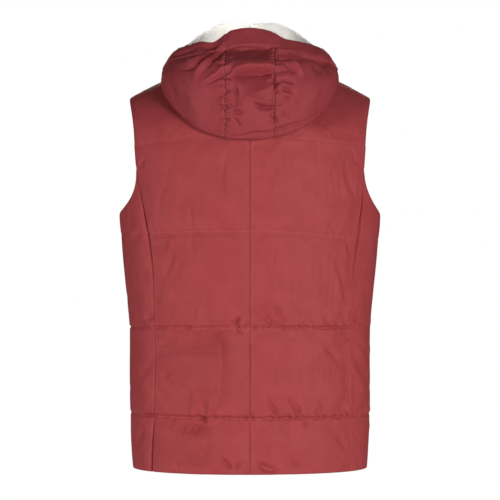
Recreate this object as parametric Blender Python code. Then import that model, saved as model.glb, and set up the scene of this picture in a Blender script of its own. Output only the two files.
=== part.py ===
# Hooded puffer vest, filled out as worn, with its hood down. Metres, +Z up.
# The front faces -Y and the wearer's left is +X. The origin lies midway between the side-neck points,
# where the wearer's shoulders carry the vest.

import math

import bpy
import numpy as np

# Cloth
GAP = 0.0003              # clearance between sewn pieces
SEAM_WALL = 0.003         # shell, seam allowance and lining pressed together
LOFT_OUT = 0.005          # how far a baffle swells outwards between quilt lines
LOFT_IN = 0.004           # and inwards
LINING_WALL = 0.0012
CASING_SWELL = 0.0025     # the folded rim stands proud of the hood panels

# Body
SQUARENESS = 2.3          # exponent of the body's superellipse sections
HEM = -0.718
LINE_LOW = -0.6245        # quilt lines, from the hem up
LINE_MIDDLE = -0.4695
LINE_HIGH = -0.304
LINE_YOKE = -0.146
SEAM_TOP = -0.184         # where the side-back seam meets the armhole
UNDERARM = -0.262
SHOULDER_TIP = np.array([0.216, 0.0, -0.057])
SHOULDER_ARCH = 0.006     # rise of the shoulder seam over a straight line
SIDE_NECK = np.array([0.085, 0.0, 0.0])
NECK_BACK_DEPTH = 0.095
NECK_BACK_DROP = 0.028
NECK_FRONT_DEPTH = 0.095
NECK_FRONT_DROP = 0.060
VENT_LEFT = 0.0045        # how far the hem vents stand open at the hem
VENT_RIGHT = 0.0008
YOKE_RISE_BACK = 0.050    # how far the yokes go straight up before they roll over the shoulder
YOKE_RISE_FRONT = 0.040
ARMHOLE_ROUNDNESS = 2.1   # exponent of the armhole's lower curve
RING_STEPS = 240          # points round half of a body section

# Hood
CASING_WIDTH = 0.029
STRIP_NECK_HALF = 0.030   # half width of the centre strip at the neck seam
STRIP_STOPS = 2           # the centre strip ends this many stops from the centre back

# Zip
TAPE_EDGE = 0.008         # the front edges stand this far from the centre
TAPE_WALL = 0.0014
TAPE_PARTING = 0.0004
BOX_HEIGHT = 0.009
SLIDER_DROP = 0.030       # slider below the top end of the tapes
PULL_LENGTH = 0.030
PULL_WIDTH = 0.008
PULL_THICK = 0.0018
PULL_EYE_DROP = 0.0075    # open eye of the pull, down from its bar
PULL_RAIL = 0.0012        # width of the eye's sides
EYE_CLEARANCE = 0.0006    # between the eye's sides and the bridge
PIVOT_OUT = 0.0036        # the pull's bar from the back of the slider's plate
PIVOT_RADIUS = 0.0006
SLIDER_HALF_WIDTH = 0.0042
SLIDER_HEIGHT = 0.011
SLIDER_PLATE = 0.0022
BRIDGE_OUT = 0.0058       # how far the slider's bridge stands off its back
BRIDGE_HALF = 0.0011
BRIDGE_BAR = 0.0010
BOX_HALF_WIDTH = 0.0050
BOX_HALF_DEPTH = 0.0022

# Grid of the cloth
HEM_STEPS = 3
BAFFLE_STEPS = 4
YOKE_STEPS = 5
UNDERARM_COLUMNS = 6
SHOULDER_COLUMNS = 5
NECK_COLUMNS = 6
HOOD_ROWS = 15
CASING_ROWS = 2

# Body sections, from the hem up: half width, depth of the back and of the front
BODY_SECTIONS = {
    "height": [HEM, LINE_LOW, LINE_MIDDLE, LINE_HIGH, -0.257, LINE_YOKE, -0.050],
    "half_width": [0.2070, 0.2115, 0.2135, 0.2290, 0.2325, 0.2360, 0.2360],
    "back": [0.130, 0.132, 0.133, 0.141, 0.144, 0.146, 0.140],
    "front": [0.128, 0.132, 0.137, 0.142, 0.140, 0.130, 0.115],
}

# Distance of the side-back seams from the centre, from the hem up to the armhole, then the armhole edge
SIDE_SEAM = {
    "height": [HEM, LINE_LOW, -0.550, LINE_MIDDLE, -0.365, LINE_HIGH, -0.256, SEAM_TOP, LINE_YOKE],
    "left": [0.1700, 0.1640, 0.1616, 0.1634, 0.1675, 0.1760, 0.1850, 0.1980, 0.2015],
    "right": [0.1770, 0.1753, 0.1735, 0.1700, 0.1787, 0.1870, 0.1940, 0.1985, 0.2015],
}

# Distance of the front armhole edge from the centre, and of the grid line below it
FRONT_EDGE = {
    "height": [HEM, LINE_HIGH, SEAM_TOP, LINE_YOKE],
    "out": [0.165, 0.196, 0.193, 0.187],
}

# The largest folds of the body: face, start and end (distance to the wearer's left, height), half width
# and how far the cloth stands out, or sinks in where it is below nought
FOLDS = [
    ("back", (0.047, -0.480), (0.076, -0.715), 0.018, 0.0030),
    ("back", (0.112, -0.180), (0.128, -0.295), 0.016, -0.0025),
    ("back", (-0.025, -0.400), (-0.060, -0.465), 0.015, -0.0025),
    ("side", (0.205, -0.575), (0.165, -0.520), 0.012, -0.0035),
    ("side", (-0.175, -0.490), (-0.208, -0.570), 0.014, -0.0035),
    ("front", (0.060, -0.330), (0.110, -0.455), 0.018, -0.0030),
    ("front", (-0.050, -0.500), (-0.095, -0.610), 0.018, 0.0030),
]
FOLD_FACES = {"back": (0.105, 1.0), "side": (0.0, 0.125), "front": (-1.0, -0.05)}

# Hood sections, from the centre back to the centre front, at their stops along the neck seam. Each has
# these places up its profile: the neck seam comes from the body, then the roll over the neck, the inner
# layer lying on the back, the fold under the pouch, the widest place of the outer layer, the shelf
# above it and the rim.
HOOD_STATIONS = [0, 2, 4, 5, 6, 7, 9, 10.5, 12]
HOOD_PLACES = {
    "roll": [
        (0.000, 0.112, 0.004), (0.033, 0.109, 0.005), (0.071, 0.084, 0.014),
        (0.087, 0.054, 0.021), (0.100, 0.012, 0.024), (0.101, -0.022, 0.018),
        (0.076, -0.067, -0.008), (0.044, -0.090, -0.022), (0.008, -0.100, -0.030),
    ],
    "inner": [
        (0.000, 0.144, -0.075), (0.038, 0.141, -0.073), (0.093, 0.117, -0.050),
        (0.114, 0.080, -0.012), (0.125, 0.030, 0.000), (0.116, -0.018, 0.010),
        (0.083, -0.071, 0.008), (0.048, -0.093, -0.002), (0.008, -0.104, -0.008),
    ],
    "base": [
        (0.000, 0.164, -0.149), (0.042, 0.160, -0.146), (0.104, 0.138, -0.118),
        (0.141, 0.105, -0.077), (0.154, 0.052, -0.036), (0.127, -0.014, 0.003),
        (0.089, -0.074, 0.024), (0.051, -0.095, 0.018), (0.008, -0.106, 0.016),
    ],
    "crown": [
        (0.000, 0.197, -0.084), (0.042, 0.193, -0.081), (0.114, 0.160, -0.060),
        (0.147, 0.115, -0.036), (0.157, 0.052, -0.018), (0.133, -0.018, 0.016),
        (0.092, -0.077, 0.043), (0.053, -0.096, 0.052), (0.008, -0.106, 0.052),
    ],
    "shelf": [
        (0.000, 0.188, -0.028), (0.042, 0.184, -0.026), (0.113, 0.147, -0.020),
        (0.144, 0.095, -0.010), (0.153, 0.042, -0.004), (0.131, -0.020, 0.027),
        (0.090, -0.079, 0.060), (0.053, -0.095, 0.073), (0.008, -0.103, 0.074),
    ],
    "rim": [
        (0.000, 0.128, 0.048), (0.040, 0.123, 0.037), (0.095, 0.104, 0.025),
        (0.128, 0.066, 0.021), (0.142, 0.028, 0.010), (0.124, -0.030, 0.038),
        (0.083, -0.078, 0.077), (0.051, -0.092, 0.092), (0.008, -0.098, 0.093),
    ],
}


# Number tools

def unit(vectors):
    length = np.linalg.norm(vectors, axis=-1, keepdims=True)
    return vectors / np.maximum(length, 1e-12)


def smooth(knots, values, at):
    """Cubic through the rows of a table, with slopes from the neighbouring rows."""
    knots = np.asarray(knots, float)
    values = np.asarray(values, float)
    slopes = np.gradient(values, knots, axis=0)
    i = int(np.clip(np.searchsorted(knots, at) - 1, 0, len(knots) - 2))
    span = knots[i + 1] - knots[i]
    t = (at - knots[i]) / span
    start = (1 + 2 * t) * (1 - t) ** 2 * values[i] + t * (1 - t) ** 2 * span * slopes[i]
    end = t * t * (3 - 2 * t) * values[i + 1] + t * t * (t - 1) * span * slopes[i + 1]
    return start + end


def even_points(points, shares):
    """Points at the given shares of a polyline's length."""
    steps = np.linalg.norm(np.diff(points, axis=0), axis=1)
    along = np.concatenate([[0.0], np.cumsum(steps)])
    wanted = np.asarray(shares) * along[-1]
    return np.stack([np.interp(wanted, along, points[:, k]) for k in range(3)], axis=1)


def bezier(points, t):
    p0, p1, p2, p3 = points
    return (1 - t) ** 3 * p0 + 3 * t * (1 - t) ** 2 * p1 + 3 * t * t * (1 - t) * p2 + t ** 3 * p3


# Body form

def half_ring(height):
    """One side of a level section from centre back to centre front: x, y and share of its length."""
    half_width, back, front = (
        smooth(BODY_SECTIONS["height"], BODY_SECTIONS[key], height)
        for key in ("half_width", "back", "front")
    )
    angle = np.linspace(0.0, math.pi, RING_STEPS + 1)
    power = 2.0 / SQUARENESS
    cosine = np.cos(angle)
    depth = np.where(cosine > 0, back, front)
    x = half_width * np.abs(np.sin(angle)) ** power
    y = depth * np.sign(cosine) * np.abs(cosine) ** power
    along = np.concatenate([[0.0], np.cumsum(np.hypot(np.diff(x), np.diff(y)))])
    return x, y, along / along[-1]


def body_point(height, share):
    x, y, along = half_ring(height)
    return np.array([np.interp(share, along, x), np.interp(share, along, y), height])


def share_at(height, out, front=False):
    """Share of the section's length where it lies this far out from the centre."""
    x, _, along = half_ring(height)
    half = RING_STEPS // 2
    if front:
        return np.interp(-out, -x[half:], along[half:])
    return np.interp(out, x[:half + 1], along[:half + 1])


def body_normal(height, share):
    rise = body_point(height + 0.004, share) - body_point(height - 0.004, share)
    low = max(share - 0.01, 0.0)
    high = min(share + 0.01, 1.0)
    along = body_point(height, high) - body_point(height, low)
    return unit(np.cross(rise, along))


def neck_point(stop):
    """Neck seam at a stop: 0 is the centre back, NECK_COLUMNS the shoulder, twice that the centre front."""
    strip = math.asin(STRIP_NECK_HALF / SIDE_NECK[0])
    if stop <= STRIP_STOPS:
        angle = strip * stop / STRIP_STOPS
    elif stop <= NECK_COLUMNS:
        angle = strip + (math.pi / 2 - strip) * (stop - STRIP_STOPS) / (NECK_COLUMNS - STRIP_STOPS)
    else:
        end = math.pi - math.asin(TAPE_EDGE / SIDE_NECK[0])
        angle = math.pi / 2 + (end - math.pi / 2) * (stop - NECK_COLUMNS) / NECK_COLUMNS
    cosine = math.cos(angle)
    depth, drop = (
        (NECK_BACK_DEPTH, NECK_BACK_DROP) if cosine > 0 else (NECK_FRONT_DEPTH, NECK_FRONT_DROP)
    )
    return np.array([
        SIDE_NECK[0] * math.sin(angle),
        depth * cosine,
        -drop * abs(cosine) ** 1.5,
    ])


# Baffles: heights of the rows below the yoke, and how full the quilting is in each

def lower_rows():
    rows = []
    for low, high, steps in (
        (HEM, LINE_LOW, HEM_STEPS),
        (LINE_LOW, LINE_MIDDLE, BAFFLE_STEPS),
        (LINE_MIDDLE, LINE_HIGH, BAFFLE_STEPS),
    ):
        rows += [(low + (high - low) * k / steps, k / steps) for k in range(steps)]
    span = LINE_YOKE - LINE_HIGH
    for k in range(BAFFLE_STEPS):
        height = LINE_HIGH + (SEAM_TOP - LINE_HIGH) * k / (BAFFLE_STEPS - 1)
        rows.append((height, (height - LINE_HIGH) / span))
    rows.append((LINE_YOKE, 0.0))
    return rows


LOWER_ROWS = lower_rows()
LINE_HIGH_ROW = HEM_STEPS + 2 * BAFFLE_STEPS
SEAM_TOP_ROW = LINE_HIGH_ROW + BAFFLE_STEPS - 1
YOKE_ROW = SEAM_TOP_ROW + 1
TOP_ROW = YOKE_ROW + YOKE_STEPS


def fullness(row):
    if row <= YOKE_ROW:
        share = LOWER_ROWS[row][1]
    else:
        share = (row - YOKE_ROW) / YOKE_STEPS
    return math.sin(math.pi * share) ** 0.6 if 0 < share < 1 else 0.0


def edge_taper(mask):
    """0 on the border of a masked grid, rising to 1 two columns inside it."""
    rows, columns = mask.shape
    taper = np.ones(mask.shape)
    for r in range(rows):
        inside = [c for c in range(columns) if mask[r, c]]
        for c in inside:
            reach = min(c - inside[0], inside[-1] - c)
            taper[r, c] = min(1.0, reach / 2.0) ** 0.7
    return taper


# Walls: a closed solid between an outer and an inner grid of the same layout

def rim_faces(index, outer, p, q):
    """Two triangles across the wall's edge. Both pieces at a seam split it along the same diagonal."""
    order = [abs(outer[k][0]) + 2 * outer[k][2] for k in (p, q)]
    outer_p, outer_q, inner_p, inner_q = index[0][p], index[0][q], index[1][p], index[1][q]
    if order[0] < order[1]:
        return [[outer_p, outer_q, inner_q], [outer_p, inner_q, inner_p]]
    return [[outer_p, outer_q, inner_p], [outer_q, inner_q, inner_p]]


def wall_mesh(name, outer, inner, mask=None):
    """Joins two grids of points into one closed wall. Row index rises, column index runs round."""
    rows, columns = outer.shape[:2]
    if mask is None:
        mask = np.ones((rows, columns), bool)
    index = -np.ones((2, rows, columns), int)
    points = []
    for layer, grid in enumerate((outer, inner)):
        for r in range(rows):
            for c in range(columns):
                if mask[r, c]:
                    index[layer, r, c] = len(points)
                    points.append(grid[r, c])
    cells = [
        (r, c)
        for r in range(rows - 1)
        for c in range(columns - 1)
        if mask[r, c] and mask[r, c + 1] and mask[r + 1, c] and mask[r + 1, c + 1]
    ]
    filled = set(cells)
    faces = []
    for r, c in cells:
        a, b = (r, c), (r, c + 1)
        d, e = (r + 1, c), (r + 1, c + 1)
        faces.append([index[0][k] for k in (a, b, e)])
        faces.append([index[0][k] for k in (a, e, d)])
        faces.append([index[1][k] for k in (e, b, a)])
        faces.append([index[1][k] for k in (d, e, a)])
        for neighbour, p, q in (
            ((r - 1, c), b, a), ((r + 1, c), d, e), ((r, c - 1), a, d), ((r, c + 1), e, b),
        ):
            if neighbour not in filled:
                faces += rim_faces(index, outer, p, q)
    mesh = bpy.data.meshes.new(name)
    mesh.from_pydata([tuple(map(float, p)) for p in points], [], faces)
    volume = sum(
        points[f[0]].dot(np.cross(points[f[k]], points[f[k + 1]]))
        for f in faces
        for k in range(1, len(f) - 1)
    )
    if volume < 0:
        mesh.flip_normals()
    return mesh


def add_object(name, mesh, material, smooth_angle=40):
    mesh.materials.append(material)
    mesh.shade_smooth()
    mesh.set_sharp_from_angle(angle=math.radians(smooth_angle))
    thing = bpy.data.objects.new(name, mesh)
    bpy.context.collection.objects.link(thing)
    return thing


def shift_column(grid, column, towards, distances):
    """Moves a border column into its panel by the given distance on each row."""
    step = unit(grid[:, towards] - grid[:, column])
    grid[:, column] += step * np.asarray(distances)[:, None]


def shift_row(grid, row, towards, columns, distance):
    step = unit(grid[towards, columns] - grid[row, columns])
    grid[row, columns] += step * distance


def grid_normals(grid, mask=None):
    """Normals from neighbouring points, where the grid runs up and from centre back to front."""
    rows, columns = grid.shape[:2]
    if mask is None:
        mask = np.ones((rows, columns), bool)
    normals = np.zeros_like(grid)
    for r in range(rows):
        for c in range(columns):
            if not mask[r, c]:
                continue
            up = r + 1 if r + 1 < rows and mask[r + 1, c] else r
            down = r - 1 if r > 0 and mask[r - 1, c] else r
            right = c + 1 if c + 1 < columns and mask[r, c + 1] else c
            left = c - 1 if c > 0 and mask[r, c - 1] else c
            normals[r, c] = np.cross(grid[up, c] - grid[down, c], grid[r, right] - grid[r, left])
    return unit(normals)


# Body panels. Both are worked out for the wearer's left, and mirrored for the right.

def shoulder_point(step):
    """From the shoulder tip, step 0, to the side neck."""
    share = step / SHOULDER_COLUMNS
    arch = SHOULDER_ARCH * math.sin(math.pi * share) ** 0.7 if 0 < share < 1 else 0.0
    return SHOULDER_TIP + (SIDE_NECK - SHOULDER_TIP) * share + np.array([0.0, 0.0, arch])


SHOULDER_NORMAL = unit(np.cross(SIDE_NECK - SHOULDER_TIP, np.array([0.0, -1.0, 0.0])))

# From the top edge of each yoke, the way its columns come in: at the centre, then at the armhole for
# the back, and the other way round for the front
BACK_ARRIVE = np.array([(0.0, 0.020, -0.030), (0.0, 0.045, -0.012)])
FRONT_ARRIVE = np.array([(0.0, -0.040, -0.012), (0.0, -0.008, -0.030)])


def back_grid(side):
    """Points, normals and mask of a back panel, column 0 at the centre back."""
    columns = NECK_COLUMNS + SHOULDER_COLUMNS
    grid = np.zeros((TOP_ROW + 1, columns + 1, 3))
    normals = np.zeros_like(grid)
    for r, (height, _) in enumerate(LOWER_ROWS):
        edge = share_at(height, smooth(SIDE_SEAM["height"], SIDE_SEAM[side], height))
        for c in range(columns + 1):
            grid[r, c] = body_point(height, edge * c / columns)
            normals[r, c] = body_normal(height, edge * c / columns)
    for c in range(columns + 1):
        if c <= NECK_COLUMNS:
            top = neck_point(c)
        else:
            top = shoulder_point(columns - c)
        across = c / columns
        start = grid[YOKE_ROW, c]
        leave = start + np.array([0.0, 0.0, YOKE_RISE_BACK])
        arrive = top + (1 - across) * BACK_ARRIVE[0] + across * BACK_ARRIVE[1]
        for k in range(1, YOKE_STEPS + 1):
            grid[YOKE_ROW + k, c] = bezier((start, leave, arrive, top), k / YOKE_STEPS)
    normals[YOKE_ROW + 1:] = grid_normals(grid)[YOKE_ROW + 1:]
    normals[TOP_ROW, NECK_COLUMNS:] = SHOULDER_NORMAL
    normals[:, 0, 0] = 0.0
    return grid, unit(normals), np.ones(grid.shape[:2], bool)


def armhole_height(share):
    """Lower half of the armhole, from the seam, 0, to the front edge, 1."""
    across = abs(2.0 * share - 1.0)
    return SEAM_TOP - (SEAM_TOP - UNDERARM) * math.sqrt(max(0.0, 1.0 - across ** ARMHOLE_ROUNDNESS))


def front_grid(side):
    """Points, normals and mask of a front panel, column 0 at the side-back seam, last at the zip."""
    columns = UNDERARM_COLUMNS + SHOULDER_COLUMNS + NECK_COLUMNS
    grid = np.zeros((TOP_ROW + 1, columns + 1, 3))
    normals = np.zeros_like(grid)
    mask = np.ones(grid.shape[:2], bool)
    mask[SEAM_TOP_ROW + 1:, :UNDERARM_COLUMNS] = False
    for r, (height, _) in enumerate(LOWER_ROWS):
        for c in range(columns + 1):
            if not mask[r, c]:
                continue
            level = height
            if c < UNDERARM_COLUMNS and r > LINE_HIGH_ROW:
                rise = (r - LINE_HIGH_ROW) / (SEAM_TOP_ROW - LINE_HIGH_ROW)
                level = LINE_HIGH + (armhole_height(c / UNDERARM_COLUMNS) - LINE_HIGH) * rise
            seam = share_at(level, smooth(SIDE_SEAM["height"], SIDE_SEAM[side], level))
            edge = share_at(level, smooth(FRONT_EDGE["height"], FRONT_EDGE["out"], level), front=True)
            centre = share_at(level, TAPE_EDGE, front=True)
            if c < UNDERARM_COLUMNS:
                share = seam + (edge - seam) * c / UNDERARM_COLUMNS
            else:
                share = edge + (centre - edge) * (c - UNDERARM_COLUMNS) / (columns - UNDERARM_COLUMNS)
            grid[r, c] = body_point(level, share)
            normals[r, c] = body_normal(level, share)
    for c in range(UNDERARM_COLUMNS, columns + 1):
        step = c - UNDERARM_COLUMNS
        if step <= SHOULDER_COLUMNS:
            top = shoulder_point(step)
        else:
            top = neck_point(NECK_COLUMNS + step - SHOULDER_COLUMNS)
        across = step / (columns - UNDERARM_COLUMNS)
        start = grid[YOKE_ROW, c]
        leave = start + np.array([0.0, 0.004, YOKE_RISE_FRONT])
        arrive = top + (1 - across) * FRONT_ARRIVE[0] + across * FRONT_ARRIVE[1]
        for k in range(1, YOKE_STEPS + 1):
            grid[YOKE_ROW + k, c] = bezier((start, leave, arrive, top), k / YOKE_STEPS)
    normals[YOKE_ROW + 1:] = grid_normals(grid, mask)[YOKE_ROW + 1:]
    normals[TOP_ROW, UNDERARM_COLUMNS:UNDERARM_COLUMNS + SHOULDER_COLUMNS + 1] = SHOULDER_NORMAL
    normals[:, -1, 0] = 0.0
    return grid, unit(normals), mask


def fold_height(points):
    """How far the folds lift or sink each point of a grid."""
    total = np.zeros(points.shape[:-1])
    flat = points[..., [0, 2]]
    for face, start, end, half_width, height in FOLDS:
        start, end = np.array(start), np.array(end)
        along = np.clip((flat - start) @ (end - start) / np.sum((end - start) ** 2), 0.0, 1.0)
        away = np.linalg.norm(flat - (start + along[..., None] * (end - start)), axis=-1)
        low, high = FOLD_FACES[face]
        on_face = (points[..., 1] > low) & (points[..., 1] < high)
        total += height * np.exp(-(away / half_width) ** 2) * on_face
    return total


def quilted_wall(name, grid, normals, mask, mirror, shift):
    """A padded panel: thin at quilt lines, seams and edges, full between them."""
    swell = np.array([fullness(r) for r in range(grid.shape[0])])[:, None] * edge_taper(mask)
    sided = grid * np.array([-1.0 if mirror else 1.0, 1.0, 1.0])
    outer = grid + normals * ((LOFT_OUT + fold_height(sided)) * swell)[..., None]
    inner = grid - normals * (SEAM_WALL + LOFT_IN * swell)[..., None]
    for layer in (outer, inner):
        shift(layer)
        if mirror:
            layer[..., 0] *= -1
    return wall_mesh(name, outer, inner, mask)


def seam_clearance(side):
    """Half the gap at the side-back seam on each row: tight above the vent, open at the hem."""
    opened = VENT_LEFT if side == "left" else VENT_RIGHT
    gaps = []
    for height, _ in LOWER_ROWS:
        down = max(0.0, (LINE_LOW - height) / (LINE_LOW - HEM))
        gaps.append(GAP / 2 + opened / 2 * down)
    return np.array(gaps)


def back_panel(side, material):
    grid, normals, mask = back_grid(side)
    clearance = seam_clearance(side)

    def shift(layer):
        layer[:, 0, 0] += GAP / 2
        part = layer[:SEAM_TOP_ROW + 1]
        shift_column(part, -1, -2, clearance[:SEAM_TOP_ROW + 1])
        shift_row(layer, TOP_ROW, TOP_ROW - 1, slice(NECK_COLUMNS, None), GAP / 2)

    mesh = quilted_wall("back_" + side, grid, normals, mask, side == "right", shift)
    return add_object("back_" + side, mesh, material)


def front_panel(side, material):
    grid, normals, mask = front_grid(side)
    clearance = seam_clearance(side)

    def shift(layer):
        part = layer[:SEAM_TOP_ROW + 1]
        shift_column(part, 0, 1, clearance[:SEAM_TOP_ROW + 1])
        shoulder = slice(UNDERARM_COLUMNS, UNDERARM_COLUMNS + SHOULDER_COLUMNS + 1)
        shift_row(layer, TOP_ROW, TOP_ROW - 1, shoulder, GAP / 2)

    mesh = quilted_wall("front_" + side, grid, normals, mask, side == "right", shift)
    return add_object("front_" + side, mesh, material)


def neck_frames():
    """Points and wall directions along the neck seam, from centre back to centre front."""
    back, back_normals, _ = back_grid("left")
    front, front_normals, _ = front_grid("left")
    first = UNDERARM_COLUMNS + SHOULDER_COLUMNS
    points = np.concatenate([back[TOP_ROW, :NECK_COLUMNS + 1], front[TOP_ROW, first + 1:]])
    normals = np.concatenate([back_normals[TOP_ROW, :NECK_COLUMNS + 1], front_normals[TOP_ROW, first + 1:]])
    along = unit(np.gradient(points, axis=0))
    inwards = unit(np.cross(along, normals))
    centre = np.array([0.0, 0.0, 0.02])
    flip = np.sign(np.sum(inwards * (centre - points), axis=1))
    return points, normals, inwards * flip[:, None]


# Hood

HOOD_STOPS = 2 * NECK_COLUMNS


def mirrored_rows(stations, rows):
    """The table with a mirrored row beyond each end, so that the hood runs level across its middle."""
    flip = np.array([-1.0, 1.0, 1.0])
    rows = np.array(rows)
    before = 2 * stations[0] - stations[1]
    after = 2 * stations[-1] - stations[-2]
    return [before, *stations, after], np.vstack([rows[1] * flip, rows, rows[-2] * flip])


def hood_profile(stop, neck):
    """Points along one profile of the hood, from the neck seam to the rim."""
    places = [neck]
    for rows in HOOD_PLACES.values():
        places.append(smooth(*mirrored_rows(HOOD_STATIONS, rows), stop))
    places = np.array(places)
    steps = np.sqrt(np.linalg.norm(np.diff(places, axis=0), axis=1))
    knots = np.concatenate([[0.0], np.cumsum(steps)])
    fine = np.array([smooth(knots, places, at) for at in np.linspace(0.0, knots[-1], 121)])
    length = np.linalg.norm(np.diff(fine, axis=0), axis=1).sum()
    casing = 1.0 - CASING_WIDTH / length
    shell_shares = np.linspace(0.0, casing, HOOD_ROWS + 1)
    casing_shares = np.linspace(casing, 1.0, CASING_ROWS + 1)[1:]
    return even_points(fine, np.concatenate([shell_shares, casing_shares]))


def hood_grid():
    """The whole hood surface, row 0 at the neck seam, columns from the right front to the left front."""
    neck, neck_normals, inwards = neck_frames()
    half = [hood_profile(stop, neck[stop] + inwards[stop] * GAP) for stop in range(HOOD_STOPS + 1)]
    left = np.array(half).transpose(1, 0, 2)
    right = left[:, :0:-1].copy()
    right[..., 0] *= -1
    grid = np.concatenate([right, left], axis=1)
    normals = grid_normals(grid)
    mirrored = neck_normals[:0:-1].copy()
    mirrored[:, 0] *= -1
    normals[0] = np.concatenate([mirrored, neck_normals])
    normals[:, HOOD_STOPS, 0] = 0.0
    normals[:, [0, -1], 0] = 0.0
    return grid, unit(normals)


def hood_pieces(shell, lining):
    grid, normals = hood_grid()
    columns = {
        "right": slice(0, HOOD_STOPS - STRIP_STOPS + 1),
        "centre": slice(HOOD_STOPS - STRIP_STOPS, HOOD_STOPS + STRIP_STOPS + 1),
        "left": slice(HOOD_STOPS + STRIP_STOPS, None),
    }
    for name, span in columns.items():
        layers = {
            "shell": (0.0, SEAM_WALL, slice(0, HOOD_ROWS + 1)),
            "lining": (SEAM_WALL + GAP, SEAM_WALL + GAP + LINING_WALL, slice(0, None)),
        }
        for kind, (near, far, reach) in layers.items():
            piece = grid[reach, span]
            facing = normals[reach, span]
            outer = piece - facing * near
            inner = piece - facing * far
            for layer in (outer, inner):
                if name != "right":
                    shift_column(layer, 0, 1, np.full(len(layer), GAP / 2))
                if name != "left":
                    shift_column(layer, -1, -2, np.full(len(layer), GAP / 2))
            title = "hood_" + name if kind == "shell" else "hood_lining_" + name
            mesh = wall_mesh(title, outer, inner)
            add_object(title, mesh, shell if kind == "shell" else lining)
    band = grid[HOOD_ROWS:].copy()
    facing = normals[HOOD_ROWS:]
    shift_row(band, 0, 1, slice(None), GAP)
    swell = np.array([0.0] + [1.0] * (CASING_ROWS - 1) + [0.4])[:, None, None] * CASING_SWELL
    outer = band + facing * swell
    inner = band - facing * SEAM_WALL
    add_object("hood_casing", wall_mesh("hood_casing", outer, inner), shell)


# Zip

def zip_line():
    """Points and outward directions up the front edge, from the hem to the rim."""
    front, front_normals, _ = front_grid("left")
    hood, hood_normals = hood_grid()
    points = np.concatenate([front[:, -1], hood[1:, -1]])
    normals = np.concatenate([front_normals[:, -1], hood_normals[1:, -1]])
    return points, normals


def zip_tapes(material):
    points, normals = zip_line()
    points = points.copy()
    points[0] = points[0] + (points[1] - points[0]) * BOX_HEIGHT / np.linalg.norm(points[1] - points[0])
    points, normals = points[:-1], normals[:-1]
    middle = SEAM_WALL / 2
    for name, mirror in (("left", 1), ("right", -1)):
        outer = np.zeros((len(points), 2, 3))
        inner = np.zeros_like(outer)
        for c, x in enumerate((TAPE_PARTING, TAPE_EDGE - GAP)):
            for layer, depth in ((outer, middle - TAPE_WALL / 2), (inner, middle + TAPE_WALL / 2)):
                layer[:, c] = points - normals * depth
                layer[:, c, 0] = x * mirror
        add_object("zip_tape_" + name, wall_mesh("zip_tape_" + name, outer, inner), material, 60)


def box_mesh(name, low, high):
    corners = [
        (x, y, z) for z in (low[2], high[2]) for y in (low[1], high[1]) for x in (low[0], high[0])
    ]
    faces = [(0, 2, 3, 1), (4, 5, 7, 6), (0, 1, 5, 4), (2, 6, 7, 3), (0, 4, 6, 2), (1, 3, 7, 5)]
    mesh = bpy.data.meshes.new(name)
    mesh.from_pydata(corners, [], faces)
    return mesh


def ring_mesh(name, outline, hole, half_width):
    """A flat ring in the YZ plane, extruded along X. Both outlines have the same number of points."""
    count = len(outline)
    points = []
    for x in (-half_width, half_width):
        points += [(x, y, z) for y, z in outline]
        points += [(x, y, z) for y, z in hole]
    faces = []
    for k in range(count):
        n = (k + 1) % count
        faces.append((k, n, count + n, count + k))
        faces.append((2 * count + k, 3 * count + k, 3 * count + n, 2 * count + n))
        faces.append((k, 2 * count + k, 2 * count + n, n))
        faces.append((count + k, count + n, 3 * count + n, 3 * count + k))
    mesh = bpy.data.meshes.new(name)
    mesh.from_pydata(points, [], faces)
    volume = 0.0
    for face in faces:
        p = [np.array(points[i]) for i in face]
        for k in range(1, len(p) - 1):
            volume += p[0].dot(np.cross(p[k], p[k + 1]))
    if volume < 0:
        mesh.flip_normals()
    return mesh


def join_solids(base, others):
    """Boolean union that leaves one object."""
    for other in others:
        cut = base.modifiers.new("union", "BOOLEAN")
        cut.operation = "UNION"
        cut.object = other
        bpy.context.view_layer.update()
        depsgraph = bpy.context.evaluated_depsgraph_get()
        mesh = bpy.data.meshes.new_from_object(base.evaluated_get(depsgraph))
        base.modifiers.clear()
        base.data = mesh
        bpy.data.objects.remove(other)
    return base


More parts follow.
